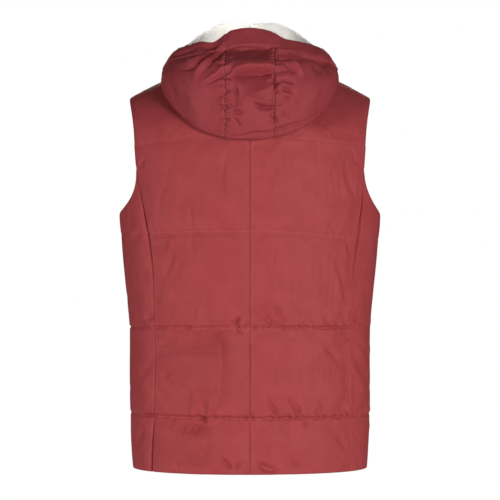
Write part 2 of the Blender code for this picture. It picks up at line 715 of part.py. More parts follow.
def zip_hardware(material):
    """Slider, pull and box. The slider's frame: local -Y away from the cloth, local Z up the zip."""
    points, normals = zip_line()
    lengths = np.linalg.norm(np.diff(points, axis=0), axis=1)
    along = lengths.sum() - lengths[-1] - SLIDER_DROP
    ends = [along - SLIDER_HEIGHT / 2, along + SLIDER_HEIGHT / 2]
    foot, top = even_points(points, np.array(ends) / lengths.sum())
    seat = (foot + top) / 2
    lean = unit(top - foot)
    tilt = math.atan2(-lean[1], lean[2])
    face = SEAM_WALL / 2 - TAPE_WALL / 2

    plate = add_object("zip_slider", box_mesh(
        "zip_slider",
        (-SLIDER_HALF_WIDTH, -SLIDER_PLATE, -SLIDER_HEIGHT / 2),
        (SLIDER_HALF_WIDTH, 0.0, SLIDER_HEIGHT / 2),
    ), material)
    rise = SLIDER_HEIGHT / 2 - 0.0015
    sunk = -SLIDER_PLATE / 2
    outline = [(sunk, -rise), (-BRIDGE_OUT + 0.001, -rise + 0.001), (-BRIDGE_OUT, 0.0),
               (-BRIDGE_OUT + 0.001, rise - 0.001), (sunk, rise)]
    slot = rise - BRIDGE_BAR - 0.0004
    floor = -SLIDER_PLATE - 0.0002
    hole = [(floor, -slot), (-BRIDGE_OUT + 0.0018, -slot + 0.0006), (-BRIDGE_OUT + BRIDGE_BAR, 0.0),
            (-BRIDGE_OUT + 0.0018, slot - 0.0006), (floor, slot)]
    bridge = bpy.data.objects.new("bridge", ring_mesh("bridge", outline, hole, BRIDGE_HALF))
    bpy.context.collection.objects.link(bridge)
    slider = join_solids(plate, [bridge])
    seat_normal = np.array([0.0, -math.cos(tilt), -math.sin(tilt)])
    place = np.array([0.0, seat[1], seat[2]]) - seat_normal * face + seat_normal * GAP
    slider.location = place
    slider.rotation_euler = (tilt, 0.0, 0.0)

    pull = zip_pull(material)
    pull.parent = slider
    pull.location = (0.0, -PIVOT_OUT, 0.0)

    low = zip_line()[0][0]
    depth = low[1] + SEAM_WALL / 2
    add_object("zip_box", box_mesh(
        "zip_box",
        (-BOX_HALF_WIDTH, depth - BOX_HALF_DEPTH, HEM),
        (BOX_HALF_WIDTH, depth + BOX_HALF_DEPTH, HEM + BOX_HEIGHT - GAP),
    ), material)


def zip_pull(material):
    """Pull tab hanging from its bar, with its origin on the bar's axis."""
    window = BRIDGE_HALF + EYE_CLEARANCE
    half = PULL_WIDTH / 2
    rail = window + PULL_RAIL
    bar = bpy.data.meshes.new("bar")
    sides = 12
    points = []
    for x in (-rail, rail):
        for k in range(sides):
            turn = 2 * math.pi * k / sides
            points.append((x, PIVOT_RADIUS * math.cos(turn), PIVOT_RADIUS * math.sin(turn)))
    faces = [tuple(range(sides)), tuple(range(2 * sides - 1, sides - 1, -1))]
    for k in range(sides):
        n = (k + 1) % sides
        faces.append((k, k + sides, n + sides, n))
    bar.from_pydata(points, [], faces)
    pull = add_object("zip_pull", bar, material)
    thick = PULL_THICK / 2
    inset = 0.0001        # no two faces of the union lie in one plane
    top = PIVOT_RADIUS + inset
    blocks = [
        ((window, inset - thick, -PULL_EYE_DROP), (rail - inset, thick - inset, top)),
        ((inset - rail, inset - thick, -PULL_EYE_DROP), (-window, thick - inset, top)),
        ((-half, -thick, -PULL_LENGTH), (half, thick, inset * 10 - PULL_EYE_DROP)),
    ]
    others = []
    for k, (low, high) in enumerate(blocks):
        block = bpy.data.objects.new("block", box_mesh("block", low, high))
        bpy.context.collection.objects.link(block)
        others.append(block)
    return join_solids(pull, others)


# Materials

def cloth_material(name, colour, roughness, metallic=0.0):
    material = bpy.data.materials.new(name)
    material.use_nodes = True
    shader = material.node_tree.nodes["Principled BSDF"]
    shader.inputs["Base Color"].default_value = (*colour, 1.0)
    shader.inputs["Roughness"].default_value = roughness
    shader.inputs["Metallic"].default_value = metallic
    return material


def clear_scene():
    for thing in list(bpy.data.objects):
        bpy.data.objects.remove(thing, do_unlink=True)


def main():
    clear_scene()
    shell = cloth_material("burgundy taffeta", (0.36, 0.058, 0.066), 0.55)
    lining = cloth_material("pale lining", (0.62, 0.58, 0.53), 0.7)
    tape = cloth_material("zip tape", (0.10, 0.020, 0.024), 0.8)
    metal = cloth_material("painted zip metal", (0.05, 0.02, 0.02), 0.35, 0.6)
    for side in ("left", "right"):
        back_panel(side, shell)
        front_panel(side, shell)
    hood_pieces(shell, lining)
    zip_tapes(tape)
    zip_hardware(metal)


main()
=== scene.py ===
import math

import bpy
import numpy as np
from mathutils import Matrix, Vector


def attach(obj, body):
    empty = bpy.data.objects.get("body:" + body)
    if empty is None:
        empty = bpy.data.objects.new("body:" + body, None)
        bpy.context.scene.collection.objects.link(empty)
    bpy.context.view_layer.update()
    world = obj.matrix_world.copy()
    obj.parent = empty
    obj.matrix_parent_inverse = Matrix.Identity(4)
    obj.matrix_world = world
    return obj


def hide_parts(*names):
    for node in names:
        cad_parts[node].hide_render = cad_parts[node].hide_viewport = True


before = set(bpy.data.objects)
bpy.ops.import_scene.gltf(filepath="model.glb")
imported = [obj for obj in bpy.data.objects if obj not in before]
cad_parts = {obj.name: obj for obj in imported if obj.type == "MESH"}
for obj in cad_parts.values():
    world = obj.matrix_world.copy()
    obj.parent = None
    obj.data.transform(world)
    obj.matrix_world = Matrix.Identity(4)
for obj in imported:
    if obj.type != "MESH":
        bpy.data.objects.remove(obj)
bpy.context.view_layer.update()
print("frame loaded")

# Camera, lights and floor

view = {
    "place": (0.0, 2.6, -0.421), "lookAt": (0.0, 0.0, -0.331),
    "lens": 104.0, "sensor": 36.0, "farthest": 20.0,
}

lights = {
    # place, what it faces, side length in metres, watts, colour, spread in degrees
    "key": ((-1.32, 2.42, -0.25), (0.0, 0.0, -0.40), 0.8, 50.0, "#fff8f2", 180),
    "sideFill": ((2.05, 1.40, -0.52), (0.0, 0.0, -0.45), 1.4, 24.5, "#fff8f4", 180),
    "hoodSnoot": ((0.12, 0.58, 0.55), (0.03, -0.05, 0.08), 0.12, 0.067, "#fffaf6", 18),
    "frontKey": ((0.0, -2.5, 0.9), (0.0, 0.0, -0.33), 1.2, 46.0, "#fff8f2", 180),
}

room = {
    "ambient": 0.07, "ambientColour": (1.0, 0.985, 0.97),      # linear
    "floorHeight": -1.05, "floorRadius": 1.7, "floorSides": 96,
    "floorColour": "#f6f5f2", "floorRoughness": 0.8,
}


def toLinear(hexColour):
    # sRGB's own curve
    parts = [int(hexColour[i:i + 2], 16) / 255 for i in (1, 3, 5)]
    return [p / 12.92 if p <= 0.04045 else ((p + 0.055) / 1.055) ** 2.4 for p in parts]


def addObject(name, data):
    thing = bpy.data.objects.new(name, data)
    bpy.context.collection.objects.link(thing)
    return thing


def addAimed(name, data, place, target):
    thing = addObject(name, data)
    thing.location = place
    thing.rotation_euler = (Vector(target) - thing.location).to_track_quat("-Z", "Y").to_euler()
    return thing


def addNode(tree, kind, values=None, links=None, **settings):
    node = tree.nodes.new(kind)
    for key, value in settings.items():
        setattr(node, key, value)
    for socket, value in (values or {}).items():
        node.inputs[socket].default_value = value
    for socket, source in (links or {}).items():
        tree.links.new(source, node.inputs[socket])
    return node


def startMaterial(name, values):
    material = bpy.data.materials.new(name)
    material.use_nodes = True
    shader = material.node_tree.nodes["Principled BSDF"]
    for socket, value in values.items():
        shader.inputs[socket].default_value = value
    return material, material.node_tree, shader


def makeCamera():
    data = bpy.data.cameras.new("camera")
    data.lens = view["lens"]
    data.sensor_width = view["sensor"]
    data.clip_end = view["farthest"]
    bpy.context.scene.camera = addAimed("camera", data, view["place"], view["lookAt"])


def makeLights():
    for name, (place, target, side, watts, colour, spread) in lights.items():
        data = bpy.data.lights.new(name, "AREA")
        data.size = side
        data.energy = watts
        data.color = toLinear(colour)
        data.spread = math.radians(spread)
        addAimed(name, data, place, target).visible_camera = False


def makeBackdrop():
    # white where the camera looks past the vest but dim as a light: the studio's backdrop is lit apart
    world = bpy.data.worlds.new("studio")
    world.use_nodes = True
    bpy.context.scene.world = world
    tree = world.node_tree
    dim = tree.nodes["Background"]
    dim.inputs["Color"].default_value = (*room["ambientColour"], 1.0)
    dim.inputs["Strength"].default_value = room["ambient"]
    white = addNode(tree, "ShaderNodeBackground", {"Color": (1.0, 1.0, 1.0, 1.0)})
    seen = addNode(tree, "ShaderNodeLightPath").outputs["Is Camera Ray"]
    mix = addNode(tree, "ShaderNodeMixShader", links={0: seen, 1: dim.outputs[0], 2: white.outputs[0]})
    tree.links.new(mix.outputs[0], tree.nodes["World Output"].inputs["Surface"])


def makeFloor():
    steps = room["floorSides"]
    ring = [(room["floorRadius"] * math.cos(2 * math.pi * k / steps),
             room["floorRadius"] * math.sin(2 * math.pi * k / steps),
             room["floorHeight"]) for k in range(steps)]
    mesh = bpy.data.meshes.new("floor")
    mesh.from_pydata(ring, [], [list(range(steps))])
    paint = startMaterial("matt floor paint", {"Base Color": (*toLinear(room["floorColour"]), 1.0),
                                               "Roughness": room["floorRoughness"]})[0]
    mesh.materials.append(paint)
    addObject("floor", mesh)


makeCamera()
makeLights()
makeBackdrop()
makeFloor()
bpy.context.scene.view_settings.view_transform = "Standard"
print("camera, lights and floor")

# Materials

yarnPitch = 0.00042      # metres from yarn to yarn: coarser than a real taffeta's 0.1 mm, so that it shows

weaves = {
    # name, colour, deeper tone, roughness, sheen, yarn pitch, width of a patch of tone, strength of relief
    "taffeta": ("burgundy nylon taffeta, calendered", "#a8464b", "#a24146",
                0.62, 0.03, yarnPitch, 0.035, 0.25),
    # painted shade: the hood's taffeta is a darker copy of the body's, so that the hood shows no brighter
    # than the body under these lamps
    "shadedHoodTaffeta": ("burgundy nylon taffeta, calendered, painted darker as shade", "#9b4047", "#953b42",
                    0.60, 0.03, yarnPitch, 0.035, 0.25),
    "lining": ("grey-white polyester lining taffeta", "#eaebe9", "#dddfde",
               0.55, 0.1, yarnPitch, 0.035, 0.2),
    "tape": ("dyed polyester zip tape, ribbed weave", "#4a1a20", "#401419",
             0.7, 0.1, 0.0006, 0.02, 0.5),
}

weaving = {
    "specular": 0.14, "sheenRoughness": 0.45,
    "patchDetail": 3.0, "patchRoughness": 0.55, "deepBelow": 0.35, "lightAbove": 0.68,
    "slub": 0.15,       # how fast a yarn changes along itself, beside the change from yarn to yarn
    "yarnHeight": 0.0003,
}

solids = {
    "specular": 0.12,
    "grainsPerMetre": 900.0, "grainDetail": 2.0, "grainStrength": 0.15, "grainHeight": 0.0002,
}


def wovenMaterial(name, light, deep, roughness, sheen, pitch, patch, strength):
    material, tree, shader = startMaterial(name, {
        "Roughness": roughness, "Sheen Weight": sheen, "Sheen Roughness": weaving["sheenRoughness"],
        "Sheen Tint": (*toLinear(light), 1.0), "Specular IOR Level": weaving["specular"]})
    place = addNode(tree, "ShaderNodeUVMap", uv_map="cloth").outputs["UV"]
    # slow change of tone: the down and seam allowances press the cloth from inside
    slow = addNode(tree, "ShaderNodeTexNoise", {
        "Scale": 1 / patch, "Detail": weaving["patchDetail"], "Roughness": weaving["patchRoughness"],
    }, {"Vector": place})
    tone = addNode(tree, "ShaderNodeValToRGB", links={"Fac": slow.outputs["Fac"]})
    stops = ((weaving["deepBelow"], deep), (weaving["lightAbove"], light))
    for element, (position, colour) in zip(tone.color_ramp.elements, stops):
        element.position = position
        element.color = (*toLinear(colour), 1.0)
    tree.links.new(tone.outputs["Color"], shader.inputs["Base Color"])
    # warp and weft yarns, which break the gloss up into a satin
    yarns = []
    for scale in ((1 / pitch, weaving["slub"] / pitch, 1.0), (weaving["slub"] / pitch, 1 / pitch, 1.0)):
        mapped = addNode(tree, "ShaderNodeMapping", {"Scale": scale}, {"Vector": place})
        yarn = addNode(tree, "ShaderNodeTexNoise", {"Scale": 1.0, "Detail": 1.0},
                       {"Vector": mapped.outputs["Vector"]})
        yarns.append(yarn.outputs["Fac"])
    both = addNode(tree, "ShaderNodeMath", links={0: yarns[0], 1: yarns[1]}, operation="ADD")
    relief = addNode(tree, "ShaderNodeBump", {"Strength": strength, "Distance": weaving["yarnHeight"]},
                     {"Height": both.outputs["Value"]})
    tree.links.new(relief.outputs["Normal"], shader.inputs["Normal"])
    return material


def solidMaterial(name, colour, roughness, coat=0.0):
    material, tree, shader = startMaterial(name, {
        "Base Color": (*toLinear(colour), 1.0), "Roughness": roughness, "Coat Weight": coat,
        "Specular IOR Level": solids["specular"]})
    # a fine grain about a millimetre wide, which casting, moulding or spinning leaves
    place = addNode(tree, "ShaderNodeTexCoord").outputs["Object"]
    grain = addNode(tree, "ShaderNodeTexNoise",
                    {"Scale": solids["grainsPerMetre"], "Detail": solids["grainDetail"]}, {"Vector": place})
    relief = addNode(tree, "ShaderNodeBump",
                     {"Strength": solids["grainStrength"], "Distance": solids["grainHeight"]},
                     {"Height": grain.outputs["Fac"]})
    tree.links.new(relief.outputs["Normal"], shader.inputs["Normal"])
    return material


# the hood's taffeta among these is the body's taffeta painted darker, as painted shade
taffeta, shadedHoodTaffeta, liningTaffeta, zipTape = (wovenMaterial(*weave) for weave in weaves.values())
thread = solidMaterial("spun polyester sewing thread", "#c4777c", 0.6)
moulding = solidMaterial("moulded zip teeth, dyed acetal", "#3a1518", 0.5)
enamel = solidMaterial("enamelled zinc casting", "#2c1416", 0.45, coat=0.03)
print("materials")

# Number tools


def unit(vectors):
    # the small number keeps a vector without length from being divided by nought
    return vectors / np.maximum(np.linalg.norm(vectors, axis=-1, keepdims=True), 1e-12)


def smoothTable(knots, values, at):
    knots, values, at = (np.asarray(numbers, float) for numbers in (knots, values, at))
    slopes = np.gradient(values, knots, axis=0)
    i = np.clip(np.searchsorted(knots, at) - 1, 0, len(knots) - 2)
    span = knots[i + 1] - knots[i]
    t = (at - knots[i]) / span
    if values.ndim > 1:
        span, t = span[..., None], t[..., None]
    return ((1 + 2 * t) * (1 - t) ** 2 * values[i] + t * (1 - t) ** 2 * span * slopes[i]
            + t * t * (3 - 2 * t) * values[i + 1] + t * t * (t - 1) * span * slopes[i + 1])


def distances(points):
    # distance along a line from its first point to each of its points
    return np.concatenate([[0.0], np.cumsum(np.linalg.norm(np.diff(points, axis=0), axis=1))])


def lengthOf(points):
    return np.linalg.norm(np.diff(points, axis=0), axis=1).sum()


def evenPoints(points, shares):
    along = distances(points)
    wanted = np.asarray(shares) * along[-1]
    return np.stack([np.interp(wanted, along, points[:, k]) for k in range(3)], axis=1)


def bezier(p0, p1, p2, p3, t):
    t = np.asarray(t)[..., None]
    return (1 - t) ** 3 * p0 + 3 * t * (1 - t) ** 2 * p1 + 3 * t * t * (1 - t) * p2 + t ** 3 * p3


def gridNormals(grid):
    return unit(np.cross(np.gradient(grid, axis=0), np.gradient(grid, axis=1)))


def relax(grid, axis):
    # evens a grid out along one axis, in place, with its edges held
    rows = np.moveaxis(grid, axis, 0)
    rows[1:-1] += 0.25 * (rows[2:] + rows[:-2] - 2 * rows[1:-1])


def easeStep(t):
    return t * t * (3 - 2 * t)


def bump(distance, reach):
    return np.exp(-(distance / reach) ** 2)


noiseStart = 3      # metres added to places across, which keeps them above nought


def softNoise(x, y, size, seed):
    # smooth value noise between -1 and 1, the same on each run
    cells = 64
    dice = np.random.RandomState(seed).uniform(-1, 1, (cells, cells))
    u, v = x / size, y / size
    i, j = np.floor(u).astype(int), np.floor(v).astype(int)
    fu, fv = easeStep(u - i), easeStep(v - j)
    a, b, c, d = (dice[(i + di) % cells, (j + dj) % cells] for dj in (0, 1) for di in (0, 1))
    return (a * (1 - fu) + b * fu) * (1 - fv) + (c * (1 - fu) + d * fu) * fv


# Body form

body = {
    "squareness": 2.3,
    "hem": -0.718, "lineLow": -0.6245, "lineMiddle": -0.4695, "lineHigh": -0.304, "lineYoke": -0.146,
    "seamTop": -0.184, "underarm": -0.262,
    "shoulderTip": (0.216, 0.0, -0.057), "sideNeck": (0.085, 0.0, 0.0),
    "shoulderArch": 0.006, "archPower": 0.7,
    "neckDepth": 0.095, "neckBackDrop": 0.028, "neckFrontDrop": 0.060, "neckPower": 1.5,
    # how the cloth leaves the yoke line, and how it arrives at the first and at the last column of the yoke
    "backTurn": {
        "leave": (0.0, 0.0, 0.050), "first": (0.0, 0.020, -0.030), "last": (0.0, 0.045, -0.012),
    },
    "frontTurn": {
        "leave": (0.0, 0.004, 0.040), "first": (0.0, -0.040, -0.012), "last": (0.0, -0.008, -0.030),
    },
    "turnRounds": 40, "turnHeld": (3, 2),      # rounds of easing, and rows kept at its foot and its top
    "armholeRoundness": 2.1,
    "wall": 0.003, "loftOut": 0.005, "loftIn": 0.004,
    "frontGap": 0.008,
    "ventLeft": 0.0024, "ventRight": 0.0004, "ventUnderlap": 0.0030,
    "ventStart": 0.25,      # share of the lowest baffle over which the underlap begins
    "seamGap": 0.0003,
}

bodySections = {
    "height": [-0.718, -0.6245, -0.4695, -0.304, -0.257, -0.146, -0.050],
    "halfWidth": [0.2070, 0.2115, 0.2135, 0.2290, 0.2325, 0.2360, 0.2360],
    "back": [0.130, 0.132, 0.133, 0.141, 0.144, 0.146, 0.140],
    "front": [0.128, 0.132, 0.137, 0.142, 0.140, 0.130, 0.115],
}

sideSeam = {
    "height": [-0.718, -0.6245, -0.550, -0.4695, -0.365, -0.304, -0.256, -0.184, -0.146],
    "left": [0.1700, 0.1640, 0.1616, 0.1634, 0.1675, 0.1760, 0.1850, 0.1980, 0.2015],
    "right": [0.1770, 0.1753, 0.1735, 0.1700, 0.1787, 0.1870, 0.1940, 0.1985, 0.2015],
}

# the front panel sinks in beside the seam, under the back panel's edge
sideTuck = {
    "height": [-0.718, -0.650, -0.6245, -0.4695, -0.400, -0.350, -0.280, -0.184],
    "left": [0.0100, 0.0080, 0.0012, 0.0012, 0.0012, 0.0035, 0.0055, 0.0012],
    "right": [0.0010, 0.0012, 0.0012, 0.0020, 0.0035, 0.0055, 0.0065, 0.0012],
    "reach": ([-0.718, -0.640, -0.6245, -0.400, -0.300, -0.184],
              [0.0034, 0.0028, 0.0024, 0.0026, 0.0036, 0.0040]),
    "backDepth": 0.25, "backReach": 0.4,      # the back panel's share of both
    "through": 0.003,      # from this depth on, the inner face sinks in too
}

seamOpening = {
    "height": [-0.470, -0.420, -0.360, -0.300, -0.250, -0.190],
    "left": [0.0, 0.0, 0.0008, 0.0018, 0.0018, 0.0002],
    "right": [0.0, 0.0012, 0.0026, 0.0038, 0.0038, 0.0003],
    "fade": 0.010,
}

frontEdge = {"height": [-0.718, -0.304, -0.184, -0.146], "out": [0.165, 0.196, 0.193, 0.187]}

# how far each quilt line strays from level, at places across the cloth from the centre back
lineStray = {
    "lineYoke": ([-0.45, -0.21, -0.12, 0.0, 0.10, 0.21, 0.45], [0, -0.008, -0.003, 0, 0, -0.006, 0]),
    "lineHigh": ([-0.50, -0.24, -0.16, -0.05, 0.0, 0.25, 0.50], [0, -0.010, -0.008, 0, 0, -0.001, 0]),
    "lineMiddle": ([-0.50, -0.27, -0.20, -0.15, 0.0, 0.20, 0.50], [0, 0.004, 0.0, -0.001, 0, -0.001, 0]),
    "lineLow": ([-0.50, -0.20, -0.10, 0.0, 0.10, 0.17, 0.50], [0, 0.001, 0.0, 0, 0.001, 0.002, 0]),
}

bodyMesh = {
    "neckColumns": 6, "shoulderColumns": 5, "underarmColumns": 6,     # as the cut is laid out
    "fineBack": 10, "fineFront": 6, "fineUnderarm": 12, "atSeam": [0.02, 0.045, 0.075, 0.125],
    "rows": {"hem": 30, "low": 46, "middle": 48, "high": 34, "armhole": 12, "yoke": 56},
}

# level sections of the form, from which all points of the body are read
rings = {"from": -0.7255, "to": -0.030, "step": 0.0025, "columns": 401, "quarterSides": 120}


def halfRing(height):
    halfWidth, back, front = (
        smoothTable(bodySections["height"], bodySections[key], height)
        for key in ("halfWidth", "back", "front")
    )
    angle = np.linspace(0.0, math.pi, 2 * rings["quarterSides"] + 1)
    power = 2.0 / body["squareness"]
    cosine = np.cos(angle)
    x = halfWidth * np.abs(np.sin(angle)) ** power
    y = np.where(cosine > 0, back, front) * np.sign(cosine) * np.abs(cosine) ** power
    along = np.concatenate([[0.0], np.cumsum(np.hypot(np.diff(x), np.diff(y)))])
    return x, y, along


ringHeights = np.arange(rings["from"], rings["to"], rings["step"])
ringShares = np.linspace(0.0, 1.0, rings["columns"])


def ringTables():
    points, lengths = [], []
    for height in ringHeights:
        x, y, along = halfRing(height)
        share = along / along[-1]
        points.append(np.stack([np.interp(ringShares, share, x), np.interp(ringShares, share, y),
                                np.full(len(ringShares), height)], axis=1))
        lengths.append(along[-1])
    points = np.array(points)
    return points, gridNormals(points), np.array(lengths)


ringPoints, ringNormals, ringLengths = ringTables()


def onRings(table, levels, shares):
    # a little under the last row and column, so that each place has a neighbour beyond it
    i = np.clip((levels - ringHeights[0]) / rings["step"], 0, len(ringHeights) - 1.001)
    j = np.clip(shares * (len(ringShares) - 1), 0, len(ringShares) - 1.001)
    a, b = i.astype(int), j.astype(int)
    u, v = (i - a)[..., None], (j - b)[..., None]
    return ((table[a, b] * (1 - v) + table[a, b + 1] * v) * (1 - u)
            + (table[a + 1, b] * (1 - v) + table[a + 1, b + 1] * v) * u)


def shareLine(heights, outs, front=False):
    # share of each level section's length where a line drawn up the body crosses it
    quarter = rings["quarterSides"]
    shares = []
    for height in ringHeights:
        x, _, along = halfRing(height)
        out = float(smoothTable(heights, outs, np.clip(height, heights[0], heights[-1])))
        if front:
            shares.append(np.interp(-out, -x[quarter:], along[quarter:] / along[-1]))
        else:
            shares.append(np.interp(out, x[:quarter + 1], along[:quarter + 1] / along[-1]))
    return lambda levels: np.interp(levels, ringHeights, shares)


seamLines = {side: shareLine(sideSeam["height"], sideSeam[side]) for side in ("left", "right")}
frontLine = shareLine(frontEdge["height"], frontEdge["out"], front=True)
zipLine = shareLine([body["hem"], body["lineYoke"]], [body["frontGap"]] * 2, front=True)


def neckPoint(stop):
    side, columns, stripStops = body["sideNeck"][0], bodyMesh["neckColumns"], hood["stripStops"]
    strip = math.asin(hood["stripNeckHalf"] / side)
    if stop <= stripStops:
        angle = strip * stop / stripStops
    elif stop <= columns:
        angle = strip + (math.pi / 2 - strip) * (stop - stripStops) / (columns - stripStops)
    else:
        end = math.pi - math.asin(body["frontGap"] / side)
        angle = math.pi / 2 + (end - math.pi / 2) * (stop - columns) / columns
    cosine = math.cos(angle)
    drop = body["neckBackDrop"] if cosine > 0 else body["neckFrontDrop"]
    height = -drop * abs(cosine) ** body["neckPower"]
    return np.array([side * math.sin(angle), body["neckDepth"] * cosine, height])


def shoulderPoint(step):
    share = step / bodyMesh["shoulderColumns"]
    arch = body["shoulderArch"] * math.sin(math.pi * share) ** body["archPower"] if 0 < share < 1 else 0.0
    tip, neck = np.array(body["shoulderTip"]), np.array(body["sideNeck"])
    return tip + (neck - tip) * share + np.array([0.0, 0.0, arch])


rowCounts = bodyMesh["rows"]
highRow = rowCounts["hem"] + rowCounts["low"] + rowCounts["middle"]
seamTopRow = highRow + rowCounts["high"]
yokeRow = seamTopRow + rowCounts["armhole"]
topRow = yokeRow + rowCounts["yoke"]
quiltRows = [0, rowCounts["hem"], rowCounts["hem"] + rowCounts["low"], highRow, yokeRow]


# the rows crowd at the quilt lines: shares of even and of crowded places, and how strongly they crowd
rowCrowding = {"baffle": (0.45, 0.55), "aboveHigh": (0.55, 0.45), "belowYoke": (0.5, 0.5), "power": 1.8}


def gradedRows():
    # heights of the rows, where each lies in its baffle, and the turn over the shoulder
    def even(name):
        return np.arange(rowCounts[name]) / rowCounts[name]

    high, seamTop, yoke = (body[name] for name in ("lineHigh", "seamTop", "lineYoke"))
    lines = [body[name] for name in ("hem", "lineLow", "lineMiddle")] + [high]
    heights, shares = [], []
    plain, crowded = rowCrowding["baffle"]
    for low, above, name in zip(lines, lines[1:], ("hem", "low", "middle")):
        places = plain * even(name) + crowded * (1 - np.cos(math.pi * even(name))) / 2
        heights.append(low + (above - low) * places)
        shares.append(places)
    plain, crowded = rowCrowding["aboveHigh"]
    t = even("high")
    upper = high + (seamTop - high) * (plain * t + crowded * t ** rowCrowding["power"])
    plain, crowded = rowCrowding["belowYoke"]
    t = np.arange(rowCounts["armhole"] + 1) / rowCounts["armhole"]
    last = seamTop + (yoke - seamTop) * (plain * t + crowded * (1 - (1 - t) ** rowCrowding["power"]))
    besideArm = np.concatenate([upper, last])
    turn = np.arange(1, rowCounts["yoke"] + 1) / rowCounts["yoke"]
    heights = np.concatenate([*heights, besideArm, np.full(len(turn), yoke)])
    shares = np.concatenate([*shares, (besideArm - high) / (yoke - high), turn])
    turns = np.concatenate([np.zeros(len(heights) - len(turn)), turn])
    return heights, np.clip(shares, 0, 1), turns


rowHeights, rowShares, rowTurns = gradedRows()
belowSeamTop = (np.arange(topRow + 1) <= seamTopRow)[:, None]


def strayAt(height, across):
    names = ["hem", "lineLow", "lineMiddle", "lineHigh", "lineYoke"]
    levels = [body[name] for name in names]
    k = int(np.clip(np.searchsorted(levels, height) - 1, 0, len(names) - 2))
    t = (height - levels[k]) / (levels[k + 1] - levels[k])
    below, above = (np.interp(across, *lineStray[name]) if name in lineStray else np.zeros_like(across)
                    for name in names[k:k + 2])
    return below * (1 - t) + above * t


def armholeHeight(share):
    across = np.abs(2.0 * share - 1.0)
    depth = np.sqrt(np.maximum(0.0, 1.0 - across ** body["armholeRoundness"]))
    return body["seamTop"] - (body["seamTop"] - body["underarm"]) * depth


def panelGrid(side, columns, first, turn, levelOf, shareOf, topOf):
    # points, wall directions and the cloth's own measures: across from the centre back, up from the origin
    sign = -1.0 if side == "right" else 1.0
    count = len(columns)
    grid = np.zeros((topRow + 1, count, 3))
    facing = np.zeros_like(grid)
    across = np.zeros((topRow + 1, count))
    up = np.zeros_like(across)
    for r in range(yokeRow + 1):
        levels = levelOf(r, columns)
        shares = shareOf(levels, columns)
        across[r] = shares * np.interp(levels, ringHeights, ringLengths)
        up[r] = levels + strayAt(rowHeights[r], across[r] * sign)
        grid[r] = onRings(ringPoints, up[r], shares)
        facing[r] = onRings(ringNormals, up[r], shares)
    tops = np.array([topOf(c) for c in columns])
    share = np.clip((columns - first) / (columns[-1] - first), 0, 1)[:, None]
    start = grid[yokeRow]
    leave = start + np.array(turn["leave"])
    arrive = tops + ((1 - share) * np.array(turn["first"]) + share * np.array(turn["last"]))
    for k in range(yokeRow + 1, topRow + 1):
        grid[k] = bezier(start, leave, arrive, tops, np.full(count, rowTurns[k]))
        across[k] = across[yokeRow]
        up[k] = up[k - 1] + np.linalg.norm(grid[k] - grid[k - 1], axis=1)
    foot, top = body["turnHeld"]
    for _ in range(body["turnRounds"]):      # eases the turn below the side of the neck
        relax(grid[yokeRow + foot:topRow - top], 1)
    yokeFacing = gridNormals(grid[yokeRow - 1:])
    facing[yokeRow + 1:] = yokeFacing[2:]
    facing[yokeRow] = unit(facing[yokeRow] + yokeFacing[1])
    grid[..., 0] *= sign
    facing[..., 0] *= sign
    return grid, facing, across * sign, up


def backGrid(side):
    total = bodyMesh["neckColumns"] + bodyMesh["shoulderColumns"]
    columns = np.sort(np.concatenate([
        np.linspace(0, total, total * bodyMesh["fineBack"] + 1), bodyMesh["atSeam"],
        total - np.array(bodyMesh["atSeam"]),
    ]))

    def levelOf(row, places):
        return np.full(len(places), rowHeights[row])

    def shareOf(levels, places):
        return seamLines[side](levels) * places / total

    def topOf(place):
        return neckPoint(place) if place <= bodyMesh["neckColumns"] else shoulderPoint(total - place)

    parts = panelGrid(side, columns, 0, body["backTurn"], levelOf, shareOf, topOf)
    return *parts, np.ones(parts[2].shape, bool)


def frontGrid(side):
    under, shoulder, neck = (bodyMesh[k] for k in ("underarmColumns", "shoulderColumns", "neckColumns"))
    total = under + shoulder + neck
    columns = np.sort(np.concatenate([
        np.linspace(0, under, under * bodyMesh["fineUnderarm"] + 1), bodyMesh["atSeam"],
        np.linspace(under, total, (shoulder + neck) * bodyMesh["fineFront"] + 1)[1:],
    ]))

    def levelOf(row, places):
        levels = np.full(len(places), rowHeights[row])
        if highRow < row <= seamTopRow:
            rise = (rowHeights[row] - body["lineHigh"]) / (body["seamTop"] - body["lineHigh"])
            low = places < under
            levels[low] = body["lineHigh"] + (armholeHeight(places[low] / under) - body["lineHigh"]) * rise
        return levels

    def shareOf(levels, places):
        seams, edges, middles = seamLines[side](levels), frontLine(levels), zipLine(levels)
        low = places / under
        high = (places - under) / (total - under)
        return np.where(places < under, seams + (edges - seams) * low, edges + (middles - edges) * high)

    def topOf(place):
        step = max(place - under, 0.0)
        return shoulderPoint(step) if step <= shoulder else neckPoint(neck + step - shoulder)

    parts = panelGrid(side, columns, under, body["frontTurn"], levelOf, shareOf, topOf)
    mask = np.ones(parts[2].shape, bool)
    mask[seamTopRow + 1:, columns < under] = False
    return *parts, mask


# Meshes


def cellsOf(mask):
    return mask[:-1, :-1] & mask[:-1, 1:] & mask[1:, :-1] & mask[1:, 1:]


def numbered(mask):
    # the place of each point of the mask in a list of them, and -1 outside it
    index = -np.ones(mask.shape, int)
    index[mask] = np.arange(mask.sum())
    return index


